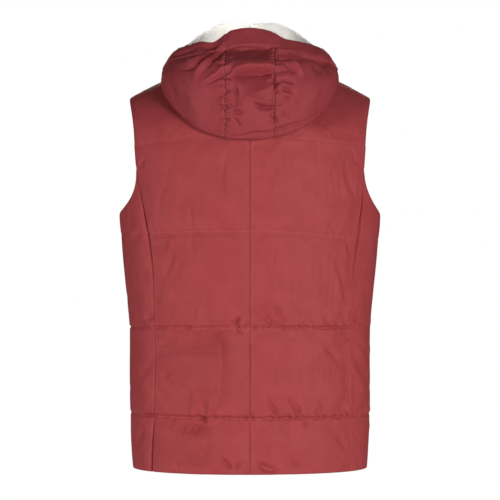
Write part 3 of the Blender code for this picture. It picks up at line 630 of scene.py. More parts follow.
def closedWall(name, outer, inner, mask, across, up, rimOut, material):
    # one closed mesh between two grids, with a rounded edge and the cloth's own measures as its UV map
    rows, columns = mask.shape
    cells = cellsOf(mask)
    used = np.zeros(mask.shape, bool)
    for dr in (0, 1):
        for dc in (0, 1):
            used[dr:rows - 1 + dr, dc:columns - 1 + dc] |= cells
    index = numbered(used)
    count = int(used.sum())
    r, c = np.nonzero(cells)
    a, b, d, e = index[r, c], index[r, c + 1], index[r + 1, c], index[r + 1, c + 1]
    faces = np.concatenate([np.stack([a, b, e, d], 1), np.stack([d, e, b, a], 1) + count])
    # the rim: edges of cells with no neighbour, with a row of points half way that stands out a little
    neighbours = np.pad(cells, 1)
    edges = {
        (-1, 0): ((0, 1), (0, 0)), (1, 0): ((1, 0), (1, 1)),
        (0, -1): ((0, 0), (1, 0)), (0, 1): ((1, 1), (0, 1)),
    }
    outerPoints, innerPoints = outer[used], inner[used]
    push = np.zeros_like(outerPoints)
    rims = []
    for (dr, dc), (p, q) in edges.items():
        free = ~neighbours[r + 1 + dr, c + 1 + dc]
        rr, cc = r[free], c[free]
        ends = index[rr + p[0], cc + p[1]], index[rr + q[0], cc + q[1]]
        rims.append(ends)
        inward = (outer[rr + (dr == -1), cc + (dc == -1)] + outer[rr + (dr != 1), cc + (dc != 1)]) / 2
        for end in ends:
            np.add.at(push, end, outerPoints[end] - inward)
    onRim = np.linalg.norm(push, axis=1) > 0
    rimIndex = numbered(onRim) + 2 * count
    middle = (outerPoints[onRim] + innerPoints[onRim]) / 2 + unit(push[onRim]) * rimOut
    for first, second in rims:
        faces = np.concatenate([
            faces,
            np.stack([first, second, rimIndex[second], rimIndex[first]], 1),
            np.stack([rimIndex[first], rimIndex[second], second + count, first + count], 1),
        ])
    points = np.concatenate([outerPoints, innerPoints, middle])
    measures = np.stack([across[used], up[used]], 1)
    measures = np.concatenate([measures, measures, measures[onRim]])
    mesh = bpy.data.meshes.new(name)
    mesh.from_pydata(points.tolist(), [], faces.tolist())
    corner = points[faces]
    volume = np.einsum("ij,ij->", corner[:, 0], np.cross(corner[:, 1], corner[:, 2]))
    volume += np.einsum("ij,ij->", corner[:, 0], np.cross(corner[:, 2], corner[:, 3]))
    if volume < 0:
        mesh.flip_normals()
    uv = mesh.uv_layers.new(name="cloth")
    loops = np.zeros(len(mesh.loops), int)
    mesh.loops.foreach_get("vertex_index", loops)
    uv.data.foreach_set("uv", measures[loops].astype(np.float32).ravel())
    mesh.shade_smooth()
    mesh.materials.append(material)
    return addObject(name, mesh)


def standIn(piece, node, slot):
    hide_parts(node)
    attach(piece, "garment")


# Folds

foldShape = {
    "reach": 3.2,       # in half widths
    "fade": 0.3, "fadeLeast": 0.12, "fadePower": 0.8,      # share of the length that each end tapers over
    "narrowing": (0.6, 0.4),      # share of the width that is left at the ends, and what the middle adds
    "tall": 0.0035, "sharpPower": 1.2, "softPower": 1.6,      # a tall fold has a sharp crest
}

puckers = {
    # spread of each pucker's lean, depth, length, half width and distance from the one before
    "lean": (-0.55, 0.55), "deep": (0.35, 1.25), "long": (0.45, 1.35), "thin": (0.0020, 0.0034),
    "pitch": (0.55, 1.5),
    "reach": 2.6,       # in lengths
    "beside": 0.02, "behind": 0.001,      # how far off its own place a pucker is still drawn
    "widening": 0.16, "fadePower": 1.5,     # a pucker widens as it runs out
    "atSeam": (0.35, 0.003),      # share of the depth at the stitches, and the way to its whole depth
    "banks": (0.45, 1.9),       # height of the ridge on each side, and its place in half widths
    "seeds": {"quilt": 20, "strip": 40, "casing": 44},
}


def foldTable(rows, way):
    # half widths and height in tenths of a millimetre, then points in millimetres, all to metres
    folds = []
    for right, left, height, *places in rows:
        line = np.array(places).reshape(-1, 2) / 1000 * (1, way)
        folds.append((line, (right / 10000, left / 10000), height / 10000))
    return folds


def foldField(across, up, folds):
    total = np.zeros(across.shape)
    for line, widths, height in folds:
        reach = foldShape["reach"] * max(widths)
        low, high = line.min(0) - reach, line.max(0) + reach
        near = (across > low[0]) & (across < high[0]) & (up > low[1]) & (up < high[1])
        if not near.any():
            continue
        place = np.stack([across[near], up[near]], 1)
        steps = np.linalg.norm(np.diff(line, axis=0), axis=1)
        best = np.full(len(place), np.inf)
        signed, share = np.zeros(len(place)), np.zeros(len(place))
        done = 0.0
        for k, step in enumerate(steps):
            way = (line[k + 1] - line[k]) / step
            away = place - line[k]
            t = np.clip(away @ way, 0, step)
            distance = np.linalg.norm(away - t[:, None] * way, axis=1)
            closer = distance < best
            best[closer] = distance[closer]
            signed[closer] = np.sign(way[0] * away[:, 1] - way[1] * away[:, 0])[closer]
            share[closer] = (done + t[closer]) / steps.sum()
            done += step
        width = np.where(signed > 0, widths[1], widths[0])
        fade = np.clip(np.minimum(share, 1 - share) / foldShape["fade"], foldShape["fadeLeast"], 1)
        fade = fade ** foldShape["fadePower"]
        power = foldShape["sharpPower" if height > foldShape["tall"] else "softPower"]
        ends, more = foldShape["narrowing"]
        total[near] += height * fade * np.exp(-(best / (width * (ends + more * fade))) ** power)
    return total


def gatherField(across, up, lineUp, gathers, seed):
    # small puckers that run from a seam into the cloth: above it where the side is 1, below it where it is -1
    dice = np.random.RandomState(seed)
    total = np.zeros(across.shape)
    least, rest = puckers["atSeam"]
    bank, bankPlace = puckers["banks"]
    for first, last, side, pitch, depth, length in gathers:
        rise = (up - lineUp) * side
        place = first
        while place < last:
            lean = dice.uniform(*puckers["lean"])
            deep = depth * dice.uniform(*puckers["deep"])
            long = length * dice.uniform(*puckers["long"])
            thin = dice.uniform(*puckers["thin"])
            reach = puckers["reach"] * long
            near = (rise > -puckers["behind"]) & (rise < reach)
            near &= np.abs(across - place) < puckers["beside"] + reach
            h = np.maximum(rise[near], 0)
            off = (across[near] - place - lean * h) / (thin + puckers["widening"] * h)
            fade = np.exp(-(h / long) ** puckers["fadePower"]) * np.minimum(1, least + h / rest)
            total[near] -= deep * (np.exp(-off ** 2) - bank * np.exp(-(np.abs(off) - bankPlace) ** 2)) * fade
            place += pitch * dice.uniform(*puckers["pitch"])
    return total


# The panels of the body

panels = {
    # how fast each baffle fills above its lower quilt line and below its upper one, and its share of the loft
    "profiles": {"hem": (0.45, 0.9, 0.8), "low": (0.46, 0.95, 1.15), "middle": (0.46, 0.95, 1.1),
                 "high": (0.5, 0.8, 0.9), "yoke": (0.6, 0.6, 0.8)},
    "sideLoft": (0.45, 0.35, 0.7),      # at the quilt lines, what is added between them, and its power
    "sideCalm": 0.75,       # share of the cloth simulation that is taken back at the sides
    "insideEase": 0.7, "insideWaves": (0.05, 0.0012, 9),        # size, height and seed
    "rimOut": 0.0011,
    # dip at each edge as a share of the loft, and how far it reaches into the cloth
    "edges": {
        "centre": (0.25, 0.006), "side": (0.60, 0.008), "armhole": (0.62, 0.007),
        "underarm": (0.35, 0.004), "zip": (0.85, 0.012),
    },
    "edgePower": 0.6,
    # share of the dip that the side seam has at some heights: it lies shallow below the waist
    "sideShare": ([-0.718, -0.650, -0.620, -0.470, -0.400, -0.330, -0.280],
                  [0.8, 0.7, 0.4, 0.4, 0.6, 0.9, 1.0]),
    "centreSeam": (0.0014, 0.0016),
    "reliefAtEdge": (0.25, 0.75),       # share of the folds' height at an edge, and what is added inwards
    # where the sides' middle lies, where they end and how soft that end is, and how much flatter they are
    "sides": (0.285, 0.105, 0.045), "sideFlat": 0.55,
    "ripple": 0.00010,
    # share of the ripple's height, stretch across and up, size and seed
    "ripples": ((1.0, 1.0, 0.22, 0.016, 5), (0.6, 0.8, 0.5, 0.009, 6)),
}

# each row is a fold: half widths to its right and left and its height (below nought it sinks in), in tenths
# of a millimetre, then points along it in millimetres, across from the centre back and down from the origin
bodyFolds = foldTable([
    (85, 60, -17, 131, 160,  135, 188,  145, 204,  145, 224,  155, 236,  159, 260,  162, 292),
    (102, 68, 10, 135, 244,  134, 276,  135, 304),
    (85, 68, -8, 117, 196,  114, 232,  112, 272),
    (40, 34, -34, 102, 256,  101, 284,  101, 304),
    (40, 29, -34, 41, 168,  47, 212,  43, 248),
    (153, 153, 9, 74, 184,  80, 224,  75, 276),
    (34, 34, -29, 188, 176,  203, 192),
    (45, 42, -28, 101, 308,  100, 328,  95, 356),
    (47, 47, 21, 137, 308,  138, 324,  143, 340),
    (55, 42, -32, 130, 336,  137, 352,  149, 380),
    (55, 42, -24, 113, 344,  126, 376),
    (85, 68, 12, 141, 384,  151, 412,  160, 440),
    (119, 85, -13, 122, 396,  134, 428,  142, 460),
    (85, 85, -23, 78, 392,  73, 420,  74, 460),
    (34, 34, 29, 84, 432,  90, 444,  85, 460),
    (102, 68, 12, 60, 420,  59, 460),
    (31, 31, -43, 13, 448,  28, 460,  40, 464),
    (29, 29, -43, 23, 460,  19, 472,  11, 476),
    (130, 500, 195, 55, 472,  49, 496,  47, 512,  47, 532,  49, 556,  49, 580,  60, 608,  65, 620),
    (40, 56, 24, 53, 472,  49, 496,  47, 512),
    (44, 34, -30, 43, 476,  43, 496,  45, 520),
    (40, 47, 21, 123, 484,  126, 500),
    (47, 47, -21, 164, 496,  134, 496),
    (55, 63, 32, 98, 568,  92, 584,  99, 612,  92, 624),
    (63, 63, -33, 79, 592,  75, 612),
    (63, 63, -19, 158, 552,  137, 552),
    (130, 480, 185, 69, 632,  71, 648,  74, 668,  79, 696,  79, 708),
    (36, 36, -80, 52, 688,  39, 700,  29, 712),
    (34, 34, -66, 15, 696,  27, 712),
    (31, 31, -27, 21, 628,  15, 644),
    (38, 38, 24, 99, 632,  111, 656),
    (29, 29, 18, 127, 628,  130, 640),
    (38, 38, -27, 130, 696,  123, 712),
    (40, 40, -21, 26, 672,  17, 680),
    (76, 76, -22, 167, 512,  182, 536,  208, 560,  306, 588),
    (68, 68, -47, 195, 644,  223, 676),
    (85, 85, 18, 231, 336,  197, 344,  173, 368),
    (85, 85, -22, 226, 368,  196, 380,  179, 396),
    (76, 76, -17, 317, 408,  213, 424,  197, 432),
    (40, 40, -48, 194, 452,  171, 448),
    (68, 68, -40, 223, 452,  191, 464),
    (51, 51, -27, 224, 252,  226, 300),
    (68, 68, -32, 225, 312,  199, 308),
    (76, 76, -18, 234, 484,  213, 500),
    (102, 102, -9, 241, 624,  306, 660),
    (40, 34, -54, -168, 180,  -170, 208,  -180, 228,  -192, 248),
    (41, 37, -34, -184, 160,  -190, 180,  -205, 192),
    (272, 204, -14, -86, 184,  -80, 232,  -89, 292),
    (204, 204, 12, -133, 188,  -125, 240,  -131, 296),
    (47, 47, -21, -138, 280,  -141, 300),
    (170, 204, 9, -53, 164,  -51, 224,  -59, 276),
    (34, 34, -37, -174, 320,  -185, 348),
    (31, 31, 15, -168, 324,  -178, 356),
    (63, 63, 27, -144, 364,  -154, 388,  -162, 412),
    (63, 55, -33, -156, 364,  -167, 404,  -173, 424),
    (63, 47, -33, -4, 420,  -19, 452),
    (63, 63, 29, -27, 416,  -36, 436,  -42, 456),
    (40, 38, -46, -21, 440,  -29, 452,  -38, 468),
    (47, 40, -51, -46, 428,  -53, 452,  -64, 464),
    (102, 85, 10, -71, 420,  -86, 452,  -93, 464),
    (272, 272, 12, -86, 336,  -117, 396,  -131, 452),
    (63, 47, -34, -123, 492,  -147, 516,  -163, 532),
    (119, 102, -9, -107, 524,  -139, 556,  -154, 576),
    (40, 38, -62, -28, 584,  -36, 600,  -49, 620),
    (63, 63, -24, -21, 564,  -30, 584),
    (85, 85, 16, -49, 576,  -64, 596,  -73, 616),
    (44, 40, -54, -62, 584,  -82, 608,  -93, 624),
    (63, 55, -30, -90, 584,  -109, 604),
    (40, 34, -46, -110, 608,  -125, 620),
    (63, 63, 21, -101, 588,  -120, 608),
    (272, 238, 12, -85, 488,  -79, 540,  -86, 588),
    (40, 38, -30, -50, 632,  -63, 652),
    (44, 44, -92, -11, 696,  -26, 708,  -49, 712),
    (38, 34, -51, -70, 692,  -84, 708),
    (53, 44, -43, -150, 652,  -175, 680),
    (119, 119, 10, -20, 660,  -52, 672,  -85, 668),
    (38, 38, -33, -93, 628,  -102, 636),
    (58, 58, 27, -187, 492,  -205, 508,  -226, 528,  -244, 548),
    (51, 51, 22, -206, 476,  -220, 496,  -295, 516),
    (71, 71, -22, -181, 496,  -201, 524,  -220, 552,  -304, 588),
    (54, 54, 26, -175, 524,  -199, 548,  -216, 576,  -230, 612),
    (75, 75, -24, -190, 564,  -200, 608),
    (41, 41, -29, -181, 392,  -205, 392),
    (93, 93, -20, -204, 352,  -222, 372),
    (85, 85, 16, -191, 408,  -219, 420),
    (29, 29, -40, -178, 440,  -187, 440),
    (23, 23, -54, -173, 492,  -183, 488),
    (85, 85, -24, -190, 648,  -222, 676),
    (51, 51, 18, -220, 628,  -299, 656),
    (51, 51, 24, -199, 680,  -220, 696),
    (85, 85, 12, -229, 288,  -216, 332),
    (30, 26, -60, 84, 620,  78, 625,  71, 631),
    (30, 24, -40, 95, 615,  87, 618,  79, 621),
    (26, 26, 22, 80, 617,  75, 622,  66, 624),
    (34, 34, -30, 92, 633,  100, 640,  107, 648),
    (32, 32, -26, 83, 633,  90, 642,  95, 650),
    (28, 34, -52, 16, 447,  23, 457,  29, 465),
    (30, 26, -46, 32, 459,  23, 465,  16, 474),
], -1)

# the front has folds like the back's, turned over and a little lower and softer
frontTurnOver = {"middle": 0.594, "lower": 0.005, "softer": 0.8, "across": (0.006, 0.19), "below": -0.16}


def turnedOver(folds):
    nearest, farthest = frontTurnOver["across"]
    turned = []
    for line, widths, height in folds:
        out, up = np.abs(line[:, 0]), line[:, 1]
        if (out > nearest).all() and (out < farthest).all() and (up < frontTurnOver["below"]).all():
            flipped = np.where(line[:, 0] > 0, -1, 1) * (frontTurnOver["middle"] - out)
            turned.append((np.stack([flipped, up - frontTurnOver["lower"]], 1), widths[::-1],
                           frontTurnOver["softer"] * height))
    return turned


# quilt line, then first and last place across, side of the line, pitch, depth and length of the puckers
quiltGathers = {
    "lineYoke": [(-0.45, 0.45, -1, 0.012, 0.0004, 0.006), (-0.45, 0.45, 1, 0.012, 0.0004, 0.005)],
    "lineHigh": [(-0.6, 0.6, 1, 0.013, 0.0010, 0.008), (-0.6, 0.6, -1, 0.015, 0.0007, 0.007)],
    "lineMiddle": [(-0.6, 0.02, 1, 0.0130, 0.0048, 0.013), (0.02, 0.6, 1, 0.019, 0.0014, 0.009),
                   (-0.6, 0.6, -1, 0.014, 0.0007, 0.006)],
    "lineLow": [(-0.6, 0.085, 1, 0.0130, 0.0054, 0.015), (0.085, 0.6, 1, 0.022, 0.0012, 0.008),
                (-0.6, 0.6, -1, 0.014, 0.0009, 0.007)],
}

# depth and width of the groove over each line, the cloth's puff above it, and the stitched ridge on the line
quiltGrooves = {
    "lineYoke": (0.0007, 0.0015, 0.0, 0.0003), "lineHigh": (0.0014, 0.0016, 0.0004, 0.0004),
    "lineMiddle": (0.0034, 0.0024, 0.0020, 0.0008), "lineLow": (0.0040, 0.0026, 0.0022, 0.0009),
}

# where the grooves lie deeper: place across and share of the depth
grooveShares = {
    "lineMiddle": ([-0.20, -0.17, -0.07, -0.03, 0.01, 0.06, 0.10, 0.13, 0.17],
                   [1.0, 2.0, 1.8, 0.9, 0.8, 1.2, 1.2, 1.8, 1.5]),
    "lineLow": ([-0.20, -0.17, -0.10, -0.03, 0.02, 0.06, 0.075, 0.10, 0.12, 0.17],
                [1.2, 1.8, 2.0, 1.8, 1.2, 1.2, 2.2, 1.0, 1.6, 1.3]),
}

grooveShape = {
    "above": 0.0020,        # the groove's middle lies above the stitches
    "ridgeBelow": 0.0003, "ridgeWidth": 0.0013, "puffAbove": 0.008, "puffReach": 0.005,
    "uneven": (0.7, 0.014, 30),     # how much the groove's depth changes, over what length, and first seed
    # share of the puff: it falls off towards the sides, and is even again in front
    "puffBehind": (1.6, 0.16, 0.15), "puffInFront": (0.3, 0.8),
}


def walked(grid, mask, axis, back=False):
    # distance along the cloth from the first point inside the mask, or from the last one
    steps = np.linalg.norm(np.diff(grid, axis=axis), axis=-1)
    both = mask[:, 1:] & mask[:, :-1] if axis == 1 else mask[1:] & mask[:-1]
    steps = np.where(both, steps, 0.0)
    zero = np.zeros((mask.shape[0], 1)) if axis == 1 else np.zeros((1, mask.shape[1]))
    if back:
        return np.flip(np.cumsum(np.flip(np.concatenate([steps, zero], axis=axis), axis), axis=axis), axis)
    return np.cumsum(np.concatenate([zero, steps], axis=axis), axis=axis)


def edgeDip(distance, kind):
    dip, reach = panels["edges"][kind]
    if kind == "side":
        shallow = np.interp(rowHeights, *panels["sideShare"])[:, None]
        dip, reach = dip * shallow, reach * shallow
    return 1 - dip * (1 - np.minimum(1, distance / reach) ** panels["edgePower"])


def panelTaper(face, grid, mask, first, last):
    # how the loft falls off towards the panel's edges
    outside = last if face == "back" else first
    atSide = np.where(belowSeamTop, edgeDip(outside, "side"), edgeDip(outside, "armhole"))
    if face == "back":
        return edgeDip(first, "centre") * atSide
    underColumns = bodyMesh["underarmColumns"] * bodyMesh["fineUnderarm"] + len(bodyMesh["atSeam"])
    under = (np.arange(mask.shape[1]) < underColumns)[None, :]
    below = edgeDip(walked(grid, mask, 0, back=True), "underarm")
    return atSide * edgeDip(last, "zip") * np.where(under, below, 1.0)


def swellRows():
    spans = dict(rowCounts)
    spans["high"] += spans.pop("armhole") + 1
    out, first = [], 0
    for name, count in spans.items():
        low, high, loft = panels["profiles"][name]
        share = rowShares[first:first + count]
        peak = low / (low + high)
        out.append(loft * share ** low * (1 - share) ** high / (peak ** low * (1 - peak) ** high))
        first += count
    return np.concatenate(out)


def atSides(across):
    # 1 at the sides of the body, where arms press the baffles flat, and 0 in front and behind
    middle, end, soft = panels["sides"]
    return easeStep(np.clip((end - np.abs(np.abs(across) - middle)) / soft, 0, 1))


def bodyRelief(across, up):
    total = foldField(across, up, bodyFolds + turnedOver(bodyFolds))
    out = np.abs(across)
    full, end, least = grooveShape["puffBehind"]
    inFront, share = grooveShape["puffInFront"]
    puffed = np.clip(full - out / end, least, 1) * (out < inFront) + share * (out >= inFront)
    waves, waveSize, seed = grooveShape["uneven"]
    for k, (line, gathers) in enumerate(quiltGathers.items()):
        lineUp = body[line] + np.interp(across, *lineStray[line])
        total += gatherField(across, up, lineUp, gathers, puckers["seeds"]["quilt"] + k)
        depth, width, puff, ridge = quiltGrooves[line]
        rise = up - lineUp
        uneven = 1 + waves * softNoise(across + noiseStart, 0 * up, waveSize, seed + k)
        if line in grooveShares:
            uneven = uneven * np.interp(across, *grooveShares[line])
        total -= depth * uneven * bump(rise - grooveShape["above"], width)
        total += ridge * bump(rise + grooveShape["ridgeBelow"], grooveShape["ridgeWidth"])
        total += puff * puffed * bump(rise - grooveShape["puffAbove"], grooveShape["puffReach"])
    return total * (1 - panels["sideFlat"] * atSides(across))


# Blender's cloth simulation presses the shell out between its held seams and quilt lines, and lets it crinkle
settling = {
    "start": 0.75, "frames": 12, "quality": 5, "pressure": 2.5, "airDamping": 4,
    "spare": 0.005,     # share of the cloth's length that is left over
    "vertexMass": 0.02, "stiffness": 15.0, "shear": 6.0, "bending": 0.6,
    "cap": 0.0036,      # the farthest that the cloth moves
}


def clothSheet(start, mask, held):
    # an open mesh of the mask's points, whose held points stay where they are
    index = numbered(mask)
    r, c = np.nonzero(cellsOf(mask))
    faces = np.stack([index[r, c], index[r, c + 1], index[r + 1, c + 1], index[r + 1, c]], 1)
    corner = start[mask][faces[0]]
    outward = gridNormals(start)[mask][faces[0][0]]
    if np.dot(np.cross(corner[1] - corner[0], corner[3] - corner[0]), outward) < 0:
        faces = faces[:, ::-1]
    mesh = bpy.data.meshes.new("settling")
    mesh.from_pydata(start[mask].tolist(), [], faces.tolist())
    sheet = addObject("settling", mesh)
    sheet.vertex_groups.new(name="held").add(np.nonzero(held[mask])[0].tolist(), 1.0, "REPLACE")
    return sheet


def settled(start, mask):
    held = np.zeros(mask.shape, bool)
    held[[*quiltRows, topRow]] = True
    around = np.pad(mask, 1)
    held |= ~(around[:-2, 1:-1] & around[2:, 1:-1] & around[1:-1, :-2] & around[1:-1, 2:])
    sheet = clothSheet(start, mask, held)
    cloth = sheet.modifiers.new("cloth", "CLOTH")
    values = cloth.settings
    values.quality = settling["quality"]
    values.mass = settling["vertexMass"]
    values.air_damping = settling["airDamping"]
    values.tension_stiffness = values.compression_stiffness = settling["stiffness"]
    values.shear_stiffness = settling["shear"]
    values.bending_stiffness = settling["bending"]
    values.vertex_group_mass = "held"
    values.use_pressure = True
    values.uniform_pressure_force = settling["pressure"]
    values.shrink_min = values.shrink_max = -settling["spare"]
    values.effector_weights.gravity = 0
    cloth.collision_settings.use_collision = False
    cloth.point_cache.frame_start, cloth.point_cache.frame_end = 1, settling["frames"]
    for number in range(1, settling["frames"] + 1):
        bpy.context.scene.frame_set(number)
    shown = sheet.evaluated_get(bpy.context.evaluated_depsgraph_get())
    mesh = sheet.data
    places = np.empty(3 * len(mesh.vertices))
    shown.data.vertices.foreach_get("co", places)
    bpy.data.objects.remove(sheet)
    bpy.data.meshes.remove(mesh)
    bpy.context.scene.frame_set(1)
    moved = np.zeros_like(start)
    moved[mask] = places.reshape(-1, 3) - start[mask]
    far = np.linalg.norm(moved, axis=-1, keepdims=True)
    cap = settling["cap"]
    return start + moved * np.minimum(1, cap * np.tanh(far / cap) / np.maximum(far, 1e-9))


def openSeam(face, side, grid, facing, layers, fromSeam):
    # the tuck beside the side-back seam, the seam's clearance, and the open vents at the hem
    inFront = face == "front"
    opened = body["ventLeft"] if side == "left" else body["ventRight"]
    down = np.clip((body["lineLow"] - rowHeights) / (body["lineLow"] - body["hem"]), 0, 1)
    opened = opened * down + np.interp(rowHeights, seamOpening["height"], seamOpening[side])
    half = (body["seamGap"] + opened) / 2
    depth = np.interp(rowHeights, sideTuck["height"], sideTuck[side])[:, None]
    reach = np.interp(rowHeights, *sideTuck["reach"])[:, None]
    if not inFront:
        depth, reach = depth * sideTuck["backDepth"], reach * sideTuck["backReach"]
    if inFront and side == "left":      # the open vent's underlap
        half = half - body["ventUnderlap"] * np.clip(down / body["ventStart"], 0, 1)
    tuck = facing * (depth * bump(fromSeam, reach) * belowSeamTop)[..., None]
    near = bump(fromSeam, seamOpening["fade"]) * belowSeamTop
    apart = unit(np.gradient(grid, axis=1)) * (1 if inFront else -1) * (near * half[:, None])[..., None]
    outer, inner = layers
    return outer - tuck, inner - tuck * np.clip(depth / sideTuck["through"], 0, 1)[..., None], apart


def bodyPanel(name, face, side):
    grid, facing, across, up, mask = (backGrid if face == "back" else frontGrid)(side)
    first, last = walked(grid, mask, 1), walked(grid, mask, 1, back=True)
    taper = panelTaper(face, grid, mask, first, last)
    atLines, between, power = panels["sideLoft"]
    sideLoft = atLines + between * np.sin(math.pi * rowShares)[:, None] ** power
    flatter = atSides(across) * (rowTurns == 0)[:, None]
    swell = swellRows()[:, None] * (1 - flatter) + sideLoft * flatter
    ripple = panels["ripple"] * swell * sum(
        share * softNoise(across * wide + noiseStart, up * high, size, seed)
        for share, wide, high, size, seed in panels["ripples"])
    least, more = panels["reliefAtEdge"]
    relief = bodyRelief(across, up) * (least + more * taper)
    loft = body["loftOut"] * swell * taper
    start = grid + facing * (settling["start"] * loft)[..., None]
    outer = start + (settled(start, mask) - start) * (1 - panels["sideCalm"] * flatter)[..., None]
    outer = outer + facing * (relief + ripple * taper)[..., None]
    size, height, seed = panels["insideWaves"]
    ease = softNoise(across + noiseStart, up, size, seed) * height
    inside = body["wall"] + (body["loftIn"] + ease) * swell * taper * panels["insideEase"]
    inner = grid - facing * inside[..., None]
    fromSeam = last if face == "back" else first
    outer, inner, apart = openSeam(face, side, grid, facing, (outer, inner), fromSeam)
    if face == "back":
        depth, reach = panels["centreSeam"]
        outer = outer - facing * (depth * bump(first, reach))[..., None]
    for layer in (outer, inner):
        layer += apart
        if face == "back":
            layer[:, 0, 0] += body["seamGap"] / 2 * (1 if side == "left" else -1)
    piece = closedWall(name + "_quilt", outer, inner, mask, across, up, panels["rimOut"], taffeta)
    standIn(piece, name, "shell")
    middle = grid - facing * (body["wall"] / 2)
    return {"skin": outer, "middle": middle, "facing": facing, "mask": mask, "first": first, "last": last}


# The hood's form

hood = {
    "stripNeckHalf": 0.030, "stripStops": 2, "stops": 12,
    "casing": 0.036, "wall": 0.0022, "liningGap": 0.0004, "liningWall": 0.0008, "casingSwell": 0.0025,
    "rimDips": [(0.061, 0.017, 0.010), (-0.061, 0.020, 0.0055)],       # place across, reach, drop
    "fineAcross": 12, "hiddenShare": 0.40, "hiddenRows": 44, "seenRows": 170, "casingRows": 22,
    "profilePoints": 241,
    "dipsFrom": 0.72, "dipsOver": 0.28, "dipPower": 1.5,       # shares of the way up over which they grow
    # the seams' grooves: depth and half width
    "stripGroove": (0.0016, 0.0020), "casingGroove": (0.0012, 0.0022),
    # height, size and seed; the casing's last ones also have a stretch up, and begin over a short way
    "waves": ((0.0007, 0.020, 45), (0.0003, 0.009, 46)),
    "casingWaves": (0.0008, 0.008, 47), "casingStretch": 0.25, "casingOver": 0.004,
    "casingSides": (0.12, 0.80, 0.6),      # start and span of its swell on a half wave, and the power
    "rimOut": 0.0002, "casingRimOut": 0.0008,
    # width, length and area of the flat panels
    "cut": {"right": (0.30, 0.42, 0.066), "centre": (0.085, 0.42, 0.034), "left": (0.30, 0.42, 0.066)},
}

lining = {
    # rounds of evening out, and how many rows and columns beside a valley it spans
    "rounds": 24, "bridges": {0: (-2, -1, 1, 2), 1: (-1, 1)},
    # how far it hangs in behind the shell, from where up the cloth, over what way, and rows to the casing
    "slack": 0.0016, "slackAbove": 0.225, "slackOver": 0.03, "slackRows": 12,
    # crinkles: height, size, slant and seed
    "broad": (0.0016, 0.013, 0.5, 51), "fine": (0.0008, 0.007, 0.4, 52),
    # their share at the centre back, the way over which it grows to the wearer's right, and the least
    "crinkled": (0.45, 0.12, 0.25),
    # in front: how far its edge stands up, how far it leans out, how far the row below stands up
    "standUp": (0.0050, 0.0018, 0.0030), "standFrom": 0.005, "standOver": 0.03,
    "short": (0.0012, 0.0006),      # how far its front edges stop from the middle, and at the rim
}

# stops round the neck, from the centre back to the zip
hoodStations = [0, 2, 4, 5, 6, 7, 9, 10.5, 12]
hoodPlaces = {
    # for each station: out from the middle, back from the shoulders, and height
    "roll": [
        (0, .112, .004), (.033, .109, .005), (.071, .084, .014), (.087, .054, .021), (.100, .012, .024),
        (.101, -.022, .018), (.076, -.067, -.008), (.044, -.090, -.022), (.008, -.100, -.030),
    ],
    "inner": [
        (0, .144, -.075), (.038, .141, -.073), (.093, .117, -.050), (.114, .080, -.012), (.125, .030, 0),
        (.116, -.018, .010), (.083, -.071, .008), (.048, -.093, -.002), (.008, -.104, -.008),
    ],
    "base": [
        (0, .164, -.149), (.042, .160, -.146), (.104, .138, -.118), (.141, .105, -.077), (.154, .052, -.036),
        (.127, -.014, .003), (.089, -.074, .024), (.051, -.095, .018), (.008, -.106, .016),
    ],
    "crown": [
        (0, .197, -.084), (.042, .193, -.081), (.113, .160, -.060), (.145, .115, -.036), (.155, .052, -.018),
        (.133, -.018, .016), (.092, -.077, .043), (.053, -.096, .052), (.008, -.106, .052),
    ],
    "shelf": [
        (0, .188, -.028), (.042, .184, -.026), (.111, .147, -.020), (.141, .095, -.010), (.150, .042, -.004),
        (.131, -.020, .027), (.090, -.079, .060), (.053, -.095, .073), (.008, -.103, .074),
    ],
    "seam": [
        (0, .144, .010), (.041, .140, .008), (.100, .118, .006), (.134, .079, .007), (.146, .035, .003),
        (.1275, -.025, .0325), (.0865, -.0785, .0685), (.052, -.0935, .0825), (.008, -.1005, .0835),
    ],
    "rim": [
        (0, .128, .047), (.040, .123, .0415), (.095, .104, .025), (.128, .066, .021), (.142, .028, .010),
        (.124, -.030, .038), (.083, -.078, .077), (.051, -.092, .092), (.008, -.098, .093),
    ],
}

hoodMiddle = hood["stops"] * hood["fineAcross"]      # column of the centre back
hoodStrip = hood["stripStops"] * hood["fineAcross"]      # columns from it to a strip seam
casingRow = hood["hiddenRows"] + hood["seenRows"]


def mirroredRows(stations, rows):
    flip = np.array([-1.0, 1.0, 1.0])
    rows = np.array(rows, float)
    return ([2 * stations[0] - stations[1], *stations, 2 * stations[-1] - stations[-2]],
            np.vstack([rows[1] * flip, rows, rows[-2] * flip]))


def hoodProfile(stop):
    # points up the hood at one stop round the neck, from the neck seam to the rim
    places = np.array([neckPoint(stop)] + [
        smoothTable(*mirroredRows(hoodStations, rows), stop) for rows in hoodPlaces.values()
    ])
    steps = np.sqrt(np.linalg.norm(np.diff(places, axis=0), axis=1))
    knots = np.concatenate([[0.0], np.cumsum(steps)])
    fine = smoothTable(knots, places, np.linspace(0.0, knots[-1], hood["profilePoints"]))
    casing = 1.0 - hood["casing"] / lengthOf(fine)
    shares = np.concatenate([np.linspace(0.0, hood["hiddenShare"], hood["hiddenRows"] + 1),
                             np.linspace(hood["hiddenShare"], casing, hood["seenRows"] + 1)[1:],
                             np.linspace(casing, 1.0, hood["casingRows"] + 1)[1:]])
    return evenPoints(fine, shares)


